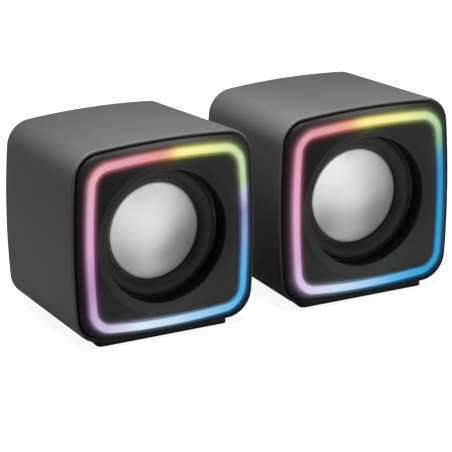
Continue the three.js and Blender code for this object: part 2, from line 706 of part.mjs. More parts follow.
// A knob with a raised pointer on its face, a blind hole for the shaft and a recess for the nut.
function volumeKnob() {
  const rear = KNOB_FRONT_Y + KNOB_LENGTH;
  const face = rear - 0.3;
  const hole = SHAFT_RADIUS + GAP;
  const recessRear = KNOB_FRONT_Y + KNOB_RECESS.depth;
  const body = turned([
    [0, rear - KNOB_FACE],
    [hole, rear - KNOB_FACE],
    [hole, recessRear],
    [KNOB_RECESS.radius, recessRear],
    [KNOB_RECESS.radius, KNOB_FRONT_Y],
    [KNOB_RADIUS, KNOB_FRONT_Y],
    [KNOB_RADIUS, face - 1.1],
    [KNOB_RADIUS - 1.2, face],
    [0, face],
  ], SEEN_SIDES);
  const pointer = boxGeometry([-0.6, 0.6], [rear - 1, rear], [2.5, KNOB_RADIUS - 1.6]);
  return shaped(body, { joined: [pointer] });
}

// A cap whose flange keeps it behind the rear panel.
function lightButton() {
  const front = REAR_PANEL_Y - BEHIND_PANEL;
  const rear = REAR_FACE_Y + BUTTON_STANDS_OUT;
  const flange = BUTTON_RADIUS + BUTTON_FLANGE;
  return turned([
    [0, front],
    [flange, front],
    [flange, REAR_PANEL_Y - GAP],
    [BUTTON_RADIUS, REAR_PANEL_Y - GAP],
    [BUTTON_RADIUS, rear - 0.4],
    [BUTTON_RADIUS - 0.5, rear],
    [0, rear],
  ], 20).translate(BUTTON_AT.x, 0, BUTTON_AT.z);
}

function buttonSwitch() {
  const half = 3;
  const front = BOARD.y + BOARD.thickness + GAP;
  const plungerRear = REAR_PANEL_Y - BEHIND_PANEL - BUTTON_TRAVEL - GAP;
  const body = boxGeometry([-half, half], [front, plungerRear - 1.2], [-half, half]);
  const plunger = rod(1.7, front + 1, plungerRear, 12);
  return shaped(body, { joined: [plunger] }).translate(BUTTON_AT.x, 0, BUTTON_AT.z);
}

function addControls(unit) {
  addMesh(unit, "right_link_grommet", grommet(LINK_GROMMET_AT), blackRubber);
  addMesh(unit, "right_amplifier_board", amplifierBoard(), boardGreen);
  addMesh(unit, "right_volume_pot", volumePot(), steel);
  addMesh(unit, "right_pot_nut", potNut(), steel);
  addMesh(unit, "right_button_switch", buttonSwitch(), blackPlastic);
  addMesh(unit, "right_light_button", lightButton(), blackRubber);
  const knob = new THREE.Group();
  knob.position.set(KNOB_AT.x, 0, KNOB_AT.z);
  knob.rotation.y = THREE.MathUtils.degToRad(KNOB_REST_TURN);
  unit.add(knob);
  addMesh(knob, "right_pot_shaft", potShaft(), steel);
  addMesh(knob, "right_volume_knob", volumeKnob(), blackPlastic);
}

// ---------------------------------------------------------------- the pair

const grommetHole = (at) => ({ at, radius: GROMMET_RADIUS + GAP });
const knobHole = { at: KNOB_AT, radius: COLLAR_RADIUS + GAP };
const buttonHole = { at: BUTTON_AT, radius: BUTTON_RADIUS + GAP };

const left = new THREE.Group();
left.position.set(-PITCH / 2, UNIT_Y, UNIT_Z);
addCabinet(left, "left", [grommetHole(CORD_GROMMET_AT)]);
addDriver(left, "left", { x: CORD_GROMMET_AT.x, y: REAR_PANEL_Y - 3.2, z: CORD_GROMMET_AT.z });

const right = new THREE.Group();
right.position.set(PITCH / 2, UNIT_Y, UNIT_Z);
const cordHoles = [grommetHole(CORD_GROMMET_AT), grommetHole(LINK_GROMMET_AT)];
addCabinet(right, "right", [...cordHoles, knobHole, buttonHole]);
addDriver(right, "right", { x: -12, y: BOARD.y - 1.2, z: BOARD.z - 13 });
addControls(right);

const speakers = new THREE.Group();
speakers.add(left, right);

export default speakers;
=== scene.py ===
"""The looks of a pair of desktop cube speakers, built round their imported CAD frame.

Shapes are worked out in millimetres in one unit's own space: x to the right, y into the cabinet
from the baffle's flat panel, z up from the unit's middle. place() turns them into the frame.
"""

import json
import math
from collections import namedtuple

import bmesh
import bpy
import numpy as np
from mathutils import Matrix, Vector


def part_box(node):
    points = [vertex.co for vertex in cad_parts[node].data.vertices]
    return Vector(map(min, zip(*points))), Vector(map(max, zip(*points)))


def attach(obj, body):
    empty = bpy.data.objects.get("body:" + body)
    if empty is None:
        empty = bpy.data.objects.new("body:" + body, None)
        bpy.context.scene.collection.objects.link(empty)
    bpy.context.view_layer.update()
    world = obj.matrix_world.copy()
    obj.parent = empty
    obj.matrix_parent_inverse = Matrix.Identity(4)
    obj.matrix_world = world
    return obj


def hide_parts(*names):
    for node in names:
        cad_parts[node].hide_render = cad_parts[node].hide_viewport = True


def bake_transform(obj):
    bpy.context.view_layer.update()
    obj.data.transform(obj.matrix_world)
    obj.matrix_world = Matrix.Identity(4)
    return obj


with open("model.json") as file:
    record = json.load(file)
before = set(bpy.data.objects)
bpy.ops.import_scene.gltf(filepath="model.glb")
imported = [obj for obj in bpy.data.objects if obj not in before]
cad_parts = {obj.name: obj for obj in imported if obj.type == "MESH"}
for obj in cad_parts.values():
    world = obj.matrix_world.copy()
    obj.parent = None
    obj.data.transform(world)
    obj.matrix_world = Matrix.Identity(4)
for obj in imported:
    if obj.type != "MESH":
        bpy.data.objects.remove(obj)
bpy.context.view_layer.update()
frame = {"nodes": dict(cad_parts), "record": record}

MM = 0.001

# ---- dimensions, as in the CAD

Outline = namedtuple("Outline", "half_width half_height bow corner")
CASING_FRONT = Outline(39.4, 38.75, 2.14, 10.95)
CASING_REAR = Outline(36.75, 36.6, 2.1, 10.3)
RING = Outline(33.3, 32.9, 1.9, 8.3)
CASING_FRONT_Y = 2.6
CASING_REAR_Y = 63.4
WALL = 2.2
GAP = 0.3
LEDGE_Y = 58.8
REAR_PANEL_Y = 61.0
REAR_FACE_Y = 63.0
RING_HALF = 2.0
RING_DEPTH = 3.6
RING_CREST_Y = -0.3
BORDER_Y = 0.5
LIP = 1.1
FRONT_EDGE = 1.5
RIM_INSET = 1.7
RIM_Y = 3.9
GROOVE_DEPTH = 6.0
DISH_RADIUS = 30.0
DISH_DEPTH = 1.3
BORE_RADIUS = 26.0
BORE_REAR_Y = 8.6
DOME_RADIUS = 19.0
DOME_EDGE_Y = 11.2
DOME_RISE = 2.4
SURROUND_OUTER = 25.5
SURROUND_INNER = 19.5
SURROUND_ROLL = 2.0
SURROUND_THICKNESS = 0.5
FOOT_FRONT_HALF = 28.0
FOOT_REAR_HALF = 22.0
FOOT_FRONT_Y = 4.2
FOOT_REAR_Y = 56.0
GROMMET_RADIUS = 4.0
CORD_HOLE_RADIUS = 1.7
CORD_GROMMET_AT = (-17.0, -22.0)
LINK_GROMMET_AT = (17.0, -22.0)
KNOB_AT = (0.0, 9.0)
KNOB_RADIUS = 9.0
KNOB_FRONT_Y = 63.6
KNOB_REAR_Y = 72.1
KNOB_REST_TURN = math.radians(150)
KNOB_BORE_RADIUS = 3.3
KNOB_RECESS_RADIUS = 7.0
KNOB_RECESS_DEPTH = 2.6
POT_HOLE_RADIUS = 4.1
BUTTON_AT = (0.0, -12.0)
BUTTON_RADIUS = 3.4

Boss = namedtuple("Boss", "offset radius front_y rear_y hole_radius hole_front_y")
REAR_BOSS = Boss(28.0, 4.0, 48.7, 60.7, 1.5, 50.7)
DRIVER_BOSS = Boss(23.4, 2.8, 1.2, 9.4, 1.3, 3.4)
Screw = namedtuple("Screw", "head head_front head_height shank shank_front slot")
REAR_SCREW = Screw(2.4, 62.3, 1.2, 1.15, 53.0, "screw_steel")
DRIVER_SCREW = Screw(2.3, 11.2, 1.4, 1.0, 4.4, "plated_steel")

CORNER_STEPS = 18
SIDE_STEPS = 16  # on each half of a side
ROUND_SIDES = 96
TIP = 0.02  # radius of the innermost ring of a turned face, which a fan of faces closes

Unit = namedtuple("Unit", "name cabinet cone middle")


def unit_of(name):
    low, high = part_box(f"{name}_cabinet_shell")
    ring_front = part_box(f"{name}_light_ring")[0].y
    middle = Vector(((low.x + high.x) / 2, ring_front - RING_CREST_Y * MM, (low.z + high.z) / 2))
    return Unit(name, f"{name}_cabinet", f"{name}_cone_assembly", middle)


UNITS = [unit_of("left"), unit_of("right")]


# ---- small sums

def ramp(value, low, high):
    """0 below low, 1 above high and smooth between them."""
    share = np.clip((value - low) / (high - low), 0, 1)
    return share**2 * (3 - 2 * share)


def between(first, second, share):
    return first * (1 - share) + second * share


def arc_radius(half_chord, rise):
    return (half_chord**2 + rise**2) / (2 * rise)


def direction_of(points):
    """How far to the right and how far up each point lies, as shares of its way from the middle."""
    angle = np.arctan2(points[:, 2], points[:, 0])
    return np.cos(angle), np.sin(angle)


def at_corners(offset):
    """The four places offset to each side of the middle and above or below it."""
    return [(x * offset, z * offset) for x, z in ((-1, 1), (1, 1), (1, -1), (-1, -1))]


# ---- outlines and loops

def quarter_arcs(outline):
    """Centre, radius, first and last angle, and steps of the arcs in the first quarter.

    The corner's arc touches the bowed side and the bowed top; its centre is found by trial.
    """
    bow_radius = arc_radius(max(outline.half_width, outline.half_height), outline.bow)
    side_x = outline.half_width - bow_radius
    top_z = outline.half_height - bow_radius
    reach = bow_radius - outline.corner
    corner_z = outline.half_height - outline.corner
    for _ in range(30):
        corner_x = side_x + math.sqrt(reach**2 - corner_z**2)
        corner_z = top_z + math.sqrt(reach**2 - corner_x**2)
    side_end = math.atan2(corner_z, corner_x - side_x)
    top_start = math.atan2(corner_z - top_z, corner_x)
    return [
        (side_x, 0, bow_radius, 0, side_end, SIDE_STEPS),
        (corner_x, corner_z, outline.corner, side_end, top_start, CORNER_STEPS),
        (0, top_z, bow_radius, top_start, math.pi / 2, SIDE_STEPS),
    ]


def outline_loop(outline, inset, y):
    """The closed outline at depth y, moved in by inset, anticlockwise from the right."""
    quarter = []
    for x, z, radius, first, last, steps in quarter_arcs(outline):
        for angle in np.linspace(first, last, steps, endpoint=False):
            quarter.append((x + (radius - inset) * math.cos(angle), z + (radius - inset) * math.sin(angle)))
    top = (0, outline.half_height - inset)
    half = quarter + [top] + [(-x, z) for x, z in quarter[:0:-1]]
    whole = np.array(half + [(-x, -z) for x, z in half])
    return np.column_stack([whole[:, 0], np.full(len(whole), y), whole[:, 1]])


def casing_outline(y):
    """The sleeve's outline at depth y, between its front and rear ends."""
    share = (y - CASING_FRONT_Y) / (CASING_REAR_Y - CASING_FRONT_Y)
    return Outline(*(a + (b - a) * share for a, b in zip(CASING_FRONT, CASING_REAR)))


def casing_loop(inset, y):
    return outline_loop(casing_outline(y), inset, y)


def ring_loop(inset, y):
    return outline_loop(RING, inset, y)


def panel_circle(radius, y):
    """A circle with one point in the direction of each point of the ring's outline."""
    loop = ring_loop(0, y)
    scale = radius / np.hypot(loop[:, 0], loop[:, 2])
    return np.column_stack([loop[:, 0] * scale, loop[:, 1], loop[:, 2] * scale])


def circle(radius, y, sides=ROUND_SIDES):
    angles = np.arange(sides) * 2 * math.pi / sides
    return np.column_stack([radius * np.cos(angles), np.full(sides, y), radius * np.sin(angles)])


def rounded(corners, steps=4, closed=True):
    """Loops with their edges rounded: corners is [(loop, radius of its rounding)]."""
    loops = []
    count = len(corners)
    for index, (here, radius) in enumerate(corners):
        ends = not closed and index in (0, count - 1)
        if radius <= 0 or ends:
            loops.append(here)
            continue
        before = corners[index - 1][0] - here
        after = corners[(index + 1) % count][0] - here
        start = here + before * reach_share(before, radius)
        end = here + after * reach_share(after, radius)
        loops += [start * (1 - t)**2 + here * 2 * t * (1 - t) + end * t**2
                  for t in np.linspace(0, 1, steps + 1)]
    return loops


def reach_share(step, radius):
    """The share of each step that the rounding takes, short of half so that two never meet."""
    length = np.linalg.norm(step, axis=1)
    return np.minimum(radius / np.maximum(length, 1e-9), 0.48)[:, None]


# ---- meshes

def place(points, unit):
    return [tuple(p) for p in np.asarray(points) * MM + np.array(unit.middle)]


def add_object(name, data):
    thing = bpy.data.objects.new(name, data)
    bpy.context.scene.collection.objects.link(thing)
    return thing


def quads_between(rows, columns, closed):
    faces = []
    for row in range(rows if closed else rows - 1):
        here = row * columns
        beyond = ((row + 1) % rows) * columns
        for column in range(columns):
            beside = (column + 1) % columns
            faces.append((here + column, here + beside, beyond + beside, beyond + column))
    return faces


def new_piece(name, unit, points, faces, body, sharp):
    """A piece from points in the unit's space, with its faces out and edges sharper than sharp."""
    mesh = bpy.data.meshes.new(name)
    mesh.from_pydata(place(points, unit), [], faces)
    piece = add_object(name, mesh)
    tidy_mesh(mesh, sharp)
    if body:
        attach(piece, body)
    return piece


def tidy_mesh(mesh, sharp):
    work = bmesh.new()
    work.from_mesh(mesh)
    bmesh.ops.remove_doubles(work, verts=work.verts, dist=1e-7)
    bmesh.ops.recalc_face_normals(work, faces=work.faces)
    for face in work.faces:
        face.smooth = True
    for edge in work.edges:
        edge.smooth = not (edge.is_manifold and edge.calc_face_angle(0) > math.radians(sharp))
    work.to_mesh(mesh)
    work.free()


def frame_piece(name, unit, loops, body, sharp=32):
    """A hollow frame whose cross-section's corners are the loops."""
    faces = quads_between(len(loops), len(loops[0]), True)
    return new_piece(name, unit, np.concatenate(loops), faces, body, sharp)


def block_piece(name, unit, loops, body, sharp=32, at=(0, 0)):
    """A solid between its first and last loops, each closed by a fan of faces."""
    columns = len(loops[0])
    points = list(np.concatenate(loops))
    faces = quads_between(len(loops), columns, False)
    for first in (0, (len(loops) - 1) * columns):
        points.append(np.mean(points[first:first + columns], axis=0))
        faces += [(first + c, first + (c + 1) % columns, len(points) - 1) for c in range(columns)]
    shift = np.array([at[0], 0, at[1]])
    return new_piece(name, unit, np.array(points) + shift, faces, body, sharp)


def turned_loops(profile, sides=ROUND_SIDES, steps=3, closed=False):
    """Circles from [(radius, y, rounding)]."""
    return rounded([(circle(r, y, sides), rounding) for r, y, rounding in profile], steps, closed)


def cut(piece, cutters, sharp=32, operation="DIFFERENCE"):
    """Cuts the cutters out of a piece, or joins them to it, and removes them."""
    for cutter in cutters:
        modifier = piece.modifiers.new("cut", "BOOLEAN")
        modifier.operation = operation
        modifier.solver = "EXACT"
        modifier.object = cutter
    bpy.context.view_layer.update()
    evaluated = piece.evaluated_get(bpy.context.evaluated_depsgraph_get())
    mesh = bpy.data.meshes.new_from_object(evaluated)
    piece.modifiers.clear()
    piece.data = mesh
    for cutter in cutters:
        bpy.data.objects.remove(cutter)
    tidy_mesh(mesh, sharp)


def cylinder_tool(unit, at, radius, first_y, last_y, sides=48):
    loops = [circle(radius, first_y, sides), circle(radius, last_y, sides)]
    return block_piece("tool", unit, loops, None, at=at)


def add_bosses(piece, unit, boss, sharp=32):
    """A boss at each corner, with a screw hole that opens at its rear."""
    past_rear_y = boss.rear_y + 1.6
    for radius, front_y, rear_y, sides, operation in (
        (boss.radius, boss.front_y, boss.rear_y, 48, "UNION"),
        (boss.hole_radius, boss.hole_front_y, past_rear_y, 24, "DIFFERENCE"),
    ):
        tools = [cylinder_tool(unit, at, radius, front_y, rear_y, sides) for at in at_corners(boss.offset)]
        cut(piece, tools, sharp, operation)


def set_values(piece, name, values):
    """A named number on each vertex of the piece."""
    attribute = piece.data.attributes.new(name, "FLOAT", "POINT")
    attribute.data.foreach_set("value", np.asarray(values, np.float32))


def local_points(piece, unit):
    flat = np.zeros(len(piece.data.vertices) * 3, np.float32)
    piece.data.vertices.foreach_get("co", flat)
    return (flat.reshape(-1, 3) - np.array(unit.middle)) / MM


# ---- material helpers

def srgb(*values):
    """Linear colour of 0 to 255 screen values."""
    shares = [value / 255 for value in values]
    return (*[s / 12.92 if s <= 0.04045 else ((s + 0.055) / 1.055) ** 2.4 for s in shares], 1.0)


class Paint:
    """A material's node tree, with one Principled shader."""

    def __init__(self, name, **shader):
        self.material = bpy.data.materials.new(name)
        self.material.use_nodes = True
        self.tree = self.material.node_tree
        self.shader = self.tree.nodes["Principled BSDF"]
        for socket, value in shader.items():
            self.shader.inputs[socket.replace("_", " ")].default_value = value
        self.coordinates = self.add("ShaderNodeTexCoord").outputs["Object"]

    def add(self, kind, inputs=(), **settings):
        node = self.tree.nodes.new(kind)
        for key, value in settings.items():
            setattr(node, key, value)
        for socket, value in dict(inputs).items():
            target = node.inputs[socket]
            if isinstance(value, bpy.types.NodeSocket):
                self.tree.links.new(value, target)
            else:
                target.default_value = value
        return node

    def link(self, output, socket):
        self.tree.links.new(output, self.shader.inputs[socket])

    def noise(self, size_mm, detail=3.0, roughness=0.5, stretch=None, vector=None):
        """Noise whose features are about size_mm across."""
        vector = vector or self.coordinates
        if stretch:
            mapping = self.add("ShaderNodeMapping", {"Vector": vector, "Scale": stretch})
            vector = mapping.outputs["Vector"]
        node = self.add("ShaderNodeTexNoise", {
            "Vector": vector, "Scale": 1000 / size_mm, "Detail": detail, "Roughness": roughness,
        })
        return node.outputs["Fac"]

    def math(self, operation, first, second=0.0):
        return self.add("ShaderNodeMath", {0: first, 1: second}, operation=operation).outputs[0]

    def spread(self, value, low, high):
        """Maps 0 to 1 onto low to high."""
        node = self.add("ShaderNodeMapRange", {"Value": value, "To Min": low, "To Max": high})
        return node.outputs["Result"]

    def blend(self, factor, first, second, kind="MIX"):
        inputs = {0: factor, 6: first, 7: second}
        return self.add("ShaderNodeMix", inputs, data_type="RGBA", blend_type=kind).outputs[2]

    def colour(self, factor, first, second):
        self.link(self.blend(factor, first, second), "Base Color")

    def rough(self, value, low, high):
        self.link(self.spread(value, low, high), "Roughness")

    def bump(self, height, depth_mm):
        node = self.add("ShaderNodeBump", {"Height": height, "Distance": depth_mm * MM})
        self.link(node.outputs["Normal"], "Normal")

    def grain(self, size_mm=0.35, depth_mm=0.02):
        """The fine texture of a spark-eroded mould."""
        coarse = self.noise(size_mm, detail=2)
        fine = self.noise(size_mm * 0.35, detail=1)
        self.bump(self.math("ADD", coarse, self.math("MULTIPLY", fine, 0.5)), depth_mm)

    def attribute(self, name):
        return self.add("ShaderNodeAttribute", attribute_name=name).outputs["Fac"]


def clouded(paint, base, other, roughness, size_mm=14, sheen_mm=5.6):
    """A faintly cloudy colour, with roughness that varies as faintly."""
    paint.rough(paint.noise(sheen_mm, detail=5), *roughness)
    return paint.blend(paint.noise(size_mm, detail=4), base, other)


# ---- materials

# Strength of the ring's light at its edges, what the middle of its width adds to that, and the least.
EDGE_STRENGTH = 0.35
CORE_STRENGTH = 0.6
LEAST_STRENGTH = 0.24
# Scales of a wave texture with four waves and with one wave to the millimetre.
FOUR_A_MM = 1250.0
ONE_A_MM = 314.0


def moulded(name, base, other, roughness, **grain):
    """Plastic from a spark-textured mould."""
    paint = Paint(name)
    paint.link(clouded(paint, base, other, roughness), "Base Color")
    paint.grain(**grain)
    return paint.material


def casing_plastic():
    """Soft grey paint, lighter or darker by its painted light and shade, with the front lip painted near
    black as painted shade.
    """
    paint = Paint("casing_plastic", Specular_IOR_Level=0.35)
    cloud = clouded(paint, srgb(84, 84, 85), srgb(90, 90, 91), (0.5, 0.58), sheen_mm=6)
    # Painted light and shade make the paint lighter or darker.
    cloud = paint.blend(1.0, cloud, paint.attribute("tint"), "MULTIPLY")
    # The front lip is painted near black as painted shade.
    lip_painted_shade = paint.add("ShaderNodeMapRange", {
        "Value": paint.attribute("lip"), "From Min": 0.35, "From Max": 0.9,
    }, interpolation_type="SMOOTHSTEP")
    paint.colour(lip_painted_shade.outputs["Result"], cloud, srgb(22, 22, 23))
    paint.grain()
    return paint.material


# The light as it runs round a ring: degrees anticlockwise from the right as seen from the front,
# and the red, green and blue there.
LIGHT_STOPS = {
    "left": [
        (-180, 222, 168, 204), (-155, 186, 142, 192), (-135, 205, 185, 220), (-110, 222, 234, 249),
        (-80, 186, 219, 245), (-58, 140, 198, 238), (-42, 82, 176, 226), (-25, 96, 180, 227),
        (-10, 138, 164, 212), (10, 146, 150, 200), (22, 196, 204, 226), (28, 184, 216, 170),
        (45, 204, 224, 170), (62, 244, 242, 164), (81, 254, 248, 160), (88, 242, 188, 142),
        (95, 230, 160, 152), (120, 230, 160, 176), (138, 230, 174, 182), (150, 224, 170, 198),
        (180, 222, 168, 204),
    ],
    "right": [
        (-180, 229, 172, 203), (-150, 214, 172, 210), (-132, 222, 208, 234), (-115, 206, 226, 244),
        (-90, 164, 208, 240), (-70, 96, 182, 228), (-48, 44, 158, 208), (-20, 40, 156, 204),
        (14, 42, 150, 202), (24, 70, 160, 196), (32, 130, 186, 156), (45, 188, 216, 166),
        (62, 240, 240, 160), (94, 254, 242, 156), (104, 240, 184, 138), (111, 232, 162, 150),
        (120, 228, 160, 164), (140, 224, 156, 172), (160, 230, 166, 200), (180, 229, 172, 203),
    ],
}


def ring_light(paint, unit):
    """The light's colour at each direction from the unit's middle."""
    away = paint.add("ShaderNodeVectorMath", {0: paint.coordinates, 1: unit.middle}, operation="SUBTRACT")
    split = paint.add("ShaderNodeSeparateXYZ", {0: away.outputs[0]})
    angle = paint.math("ARCTAN2", split.outputs["Z"], split.outputs["X"])
    turn = paint.add("ShaderNodeMapRange", {
        "Value": angle, "From Min": -math.pi, "From Max": math.pi,
    })
    colours = paint.add("ShaderNodeValToRGB", {"Fac": turn.outputs["Result"]})
    elements = colours.color_ramp.elements
    stops = LIGHT_STOPS[unit.name]
    while len(elements) < len(stops):
        elements.new(0.5)
    for element, (degrees, *colour) in zip(elements, stops):
        element.position = (degrees + 180) / 360
        element.color = srgb(*colour)
    return colours.outputs["Color"]


def deeper(paint, light, share):
    """The light's colour, with its hue made stronger."""
    return paint.blend(share, light, paint.blend(1.0, light, light, "MULTIPLY"))


def light_guide(unit):
    """Milky light guide: pale in the middle of its width, darker and stronger in hue at its edges."""
    paint = Paint(f"{unit.name}_light_guide", Roughness=0.4, Specular_IOR_Level=0.15)
    light = ring_light(paint, unit)
    milk = paint.spread(paint.noise(3, detail=2), 0.97, 1.03)
    core = paint.math("MULTIPLY", paint.attribute("core"), milk)
    glow = paint.blend(core, deeper(paint, light, 0.5), light)
    paint.link(glow, "Emission Color")
    strength = paint.math("ADD", paint.math("MULTIPLY", core, CORE_STRENGTH), EDGE_STRENGTH)
    paint.link(paint.math("MAXIMUM", strength, LEAST_STRENGTH), "Emission Strength")
    paint.link(paint.blend(1.0, glow, (0.04, 0.04, 0.04, 1), "MULTIPLY"), "Base Color")
    paint.bump(paint.noise(0.4, detail=1), 0.004)
    return paint.material


def baffle_plastic(unit):
    """Dark moulding, with painted light, highlight and shade in its lightness attribute; the ring's light
    is painted on it as glow, as far as glow says.
    """
    paint = Paint(f"{unit.name}_baffle_plastic", Specular_IOR_Level=0.12)
    cloud = clouded(paint, (0.92, 0.93, 0.93, 1), (1.05, 1.08, 1.08, 1), (0.4, 0.48), sheen_mm=6)
    paint.link(paint.blend(1.0, cloud, paint.attribute("tone"), "MULTIPLY"), "Base Color")
    paint.grain()
    # The ring's light painted on the baffle as glow.
    paint.link(deeper(paint, ring_light(paint, unit), 0.85), "Emission Color")
    paint.link(paint.attribute("glow"), "Emission Strength")
    return paint.material


def dome_metal():
    """Satin metal, turned in fine rings, with painted dark reflections where the attribute shade says so.
    """
    paint = Paint("dome_metal", Metallic=0.75)
    cloud = paint.noise(9, detail=3)
    light = paint.blend(cloud, srgb(232, 231, 229), srgb(240, 239, 238))
    # The dark colour is that of the painted reflections.
    paint.colour(paint.attribute("shade"), light, srgb(124, 118, 117))
    rings = paint.noise(0.5, detail=2, vector=paint.add("ShaderNodeCombineXYZ", {
        0: paint.attribute("reach"), 1: paint.math("MULTIPLY", cloud, 0.0002),
    }).outputs[0])
    paint.rough(rings, 0.36, 0.46)
    paint.bump(rings, 0.004)
    return paint.material


def rubber(name, base, other, roughness=(0.5, 0.62), grain_mm=0.5):
    """Black rubber, with a painted highlight where the attribute gleam says so."""
    paint = Paint(name, Sheen_Weight=0.06, Sheen_Roughness=0.4, Specular_IOR_Level=0.35)
    cloud = clouded(paint, base, other, roughness, size_mm=8, sheen_mm=3.2)
    paint.colour(paint.attribute("gleam"), cloud, srgb(120, 116, 116))
    paint.bump(paint.noise(grain_mm, detail=3), 0.015)
    return paint.material


def plated_steel():
    paint = Paint("plated_steel", Metallic=1.0)
    brushed = paint.noise(1.5, detail=3, stretch=(1, 12, 1))
    paint.colour(brushed, srgb(168, 168, 166), srgb(198, 197, 194))
    paint.rough(brushed, 0.3, 0.46)
    paint.bump(brushed, 0.006)
    return paint.material


def black_metal(name):
    paint = Paint(name, Metallic=0.7)
    worn = paint.noise(1.2, detail=5)
    paint.colour(worn, srgb(38, 38, 39), srgb(62, 61, 60))
    paint.rough(worn, 0.34, 0.5)
    paint.bump(paint.noise(0.3), 0.008)
    return paint.material


def ferrite():
    paint = Paint("ferrite", Roughness=0.62)
    grain = paint.add("ShaderNodeTexVoronoi", {"Vector": paint.coordinates, "Scale": 1600.0})
    paint.colour(grain.outputs["Distance"], srgb(70, 70, 72), srgb(46, 46, 49))
    paint.bump(grain.outputs["Distance"], 0.03)
    return paint.material


def copper_wire():
    """Fine turns of enamelled wire side by side."""
    paint = Paint("copper_wire", Metallic=1.0, Roughness=0.3, Coat_Weight=0.4)
    turns = paint.add("ShaderNodeTexWave", {"Vector": paint.coordinates, "Scale": FOUR_A_MM},
                      bands_direction="Y")
    paint.colour(turns.outputs["Fac"], srgb(120, 56, 28), srgb(196, 108, 62))
    paint.bump(turns.outputs["Fac"], 0.06)
    return paint.material


def woven(name, base, other, pitch_mm=0.6):
    """Plain weave of two crossing threads, stiffened with varnish."""
    paint = Paint(name, Roughness=0.7, Sheen_Weight=0.2)
    threads = []
    for direction in ("X", "Z"):
        wave = paint.add("ShaderNodeTexWave", {
            "Vector": paint.coordinates, "Scale": ONE_A_MM / pitch_mm, "Distortion": 0.6,
        }, bands_direction=direction)
        threads.append(wave.outputs["Fac"])
    weave = paint.math("MULTIPLY", *threads)
    paint.colour(weave, base, other)
    paint.bump(weave, 0.08)
    return paint.material


def pressed_paper():
    paint = Paint("cone_board", Roughness=0.85)
    fibre = paint.noise(1.2, detail=8, roughness=0.7)
    paint.colour(fibre, srgb(58, 54, 50), srgb(96, 90, 82))
    paint.bump(fibre, 0.06)
    return paint.material


def circuit_board():
    """Solder mask over copper traces."""
    paint = Paint("circuit_board", Roughness=0.35, Coat_Weight=0.5)
    bricks = paint.add("ShaderNodeTexBrick", {
        "Vector": paint.coordinates, "Scale": 260.0, "Mortar Size": 0.06,
        "Color1": srgb(18, 92, 48), "Color2": srgb(20, 98, 52), "Mortar": srgb(46, 132, 66),
    })
    stain = paint.noise(4, detail=4)
    paint.colour(stain, bricks.outputs["Color"], srgb(16, 78, 42))
    paint.bump(bricks.outputs["Fac"], 0.03)
    return paint.material


def printed_white():
    paint = Paint("printed_marks", Roughness=0.5)
    speckle = paint.noise(0.4, detail=2)
    paint.colour(speckle, srgb(196, 196, 194), srgb(224, 224, 222))
    paint.bump(speckle, 0.005)
    return paint.material


MATERIALS = {
    "casing_plastic": casing_plastic(),
    "dome_metal": dome_metal(),
    "surround_rubber": rubber("surround_rubber", srgb(27, 21, 19), srgb(32, 26, 24)),
    "foot_rubber": rubber("foot_rubber", srgb(26, 26, 27), srgb(34, 34, 35), (0.6, 0.75), 0.8),
    "grommet_rubber": rubber("grommet_rubber", srgb(30, 30, 31), srgb(38, 38, 39), (0.5, 0.6)),
    "lead_sheath": rubber("lead_sheath", srgb(32, 32, 34), srgb(40, 40, 42), (0.4, 0.5)),
    "rear_plastic": moulded("rear_plastic", srgb(34, 34, 35), srgb(40, 40, 41), (0.5, 0.62),
                            size_mm=0.7, depth_mm=0.05),
    "control_plastic": moulded("control_plastic", srgb(28, 28, 29), srgb(34, 34, 35), (0.34, 0.44)),
    "plated_steel": plated_steel(),
    "black_steel": black_metal("black_steel"),
    "screw_steel": black_metal("screw_steel"),
    "ferrite": ferrite(),
    "copper_wire": copper_wire(),
    "spider_cloth": woven("spider_cloth", srgb(120, 88, 40), srgb(196, 158, 92)),
    "cone_board": pressed_paper(),
    "circuit_board": circuit_board(),
    "printed_marks": printed_white(),
}


def dress(piece, material):
    if isinstance(material, str):
        material = MATERIALS[material]
    piece.data.materials.clear()
    piece.data.materials.append(material)


# ---- cabinet pieces

# Painted light and shade on the sleeve, by unit: what is added at the left and the right end of its top,
# and what its left side's foot and head are multiplied by as painted shade, the right unit's being the left
# unit's painted shadow.
TOP_END_PAINTED_LIGHT = {"left": (-0.12, 0.0), "right": (0.3, -0.08)}
LEFT_SIDE_PAINTED_SHADE = {"left": (0.92, 0.72), "right": (0.15, 0.9)}


def front_edge():
    """(inset, y) over the sleeve's soft front edge, from its side to its lip."""
    return [(LIP * (1 - math.cos(angle)), CASING_FRONT_Y + FRONT_EDGE * (1 - math.sin(angle)))
            for angle in np.linspace(0, math.pi / 2, 14)]


def painted_lighting_of_casing(points, unit):
    """How light the sleeve is painted: its top gets painted light towards the front and a painted highlight
    at the front edge, its left side painted shade.
    """
    x, y, z = points.T
    forward = np.clip((CASING_REAR_Y - y) / (CASING_REAR_Y - CASING_FRONT_Y), 0, 1)
    left_end, right_end = TOP_END_PAINTED_LIGHT[unit.name]
    ends = left_end * ramp(-x, 5, 34) + right_end * ramp(x, 0, 30)
    # Painted light on the top, growing towards the front, with a painted highlight at the front edge.
    top_painted_light = 0.96 + 0.32 * forward + 0.35 * forward**10 + ends
    # Painted shade on the left side; on the right unit, the left unit's painted shadow.
    left_painted_shade = between(*LEFT_SIDE_PAINTED_SHADE[unit.name], ramp(z, -25, 25))
    side_painted_shade = between(1, left_painted_shade, ramp(-x, 20, 34))
    return between(side_painted_shade, top_painted_light, ramp(z, 24, 36))


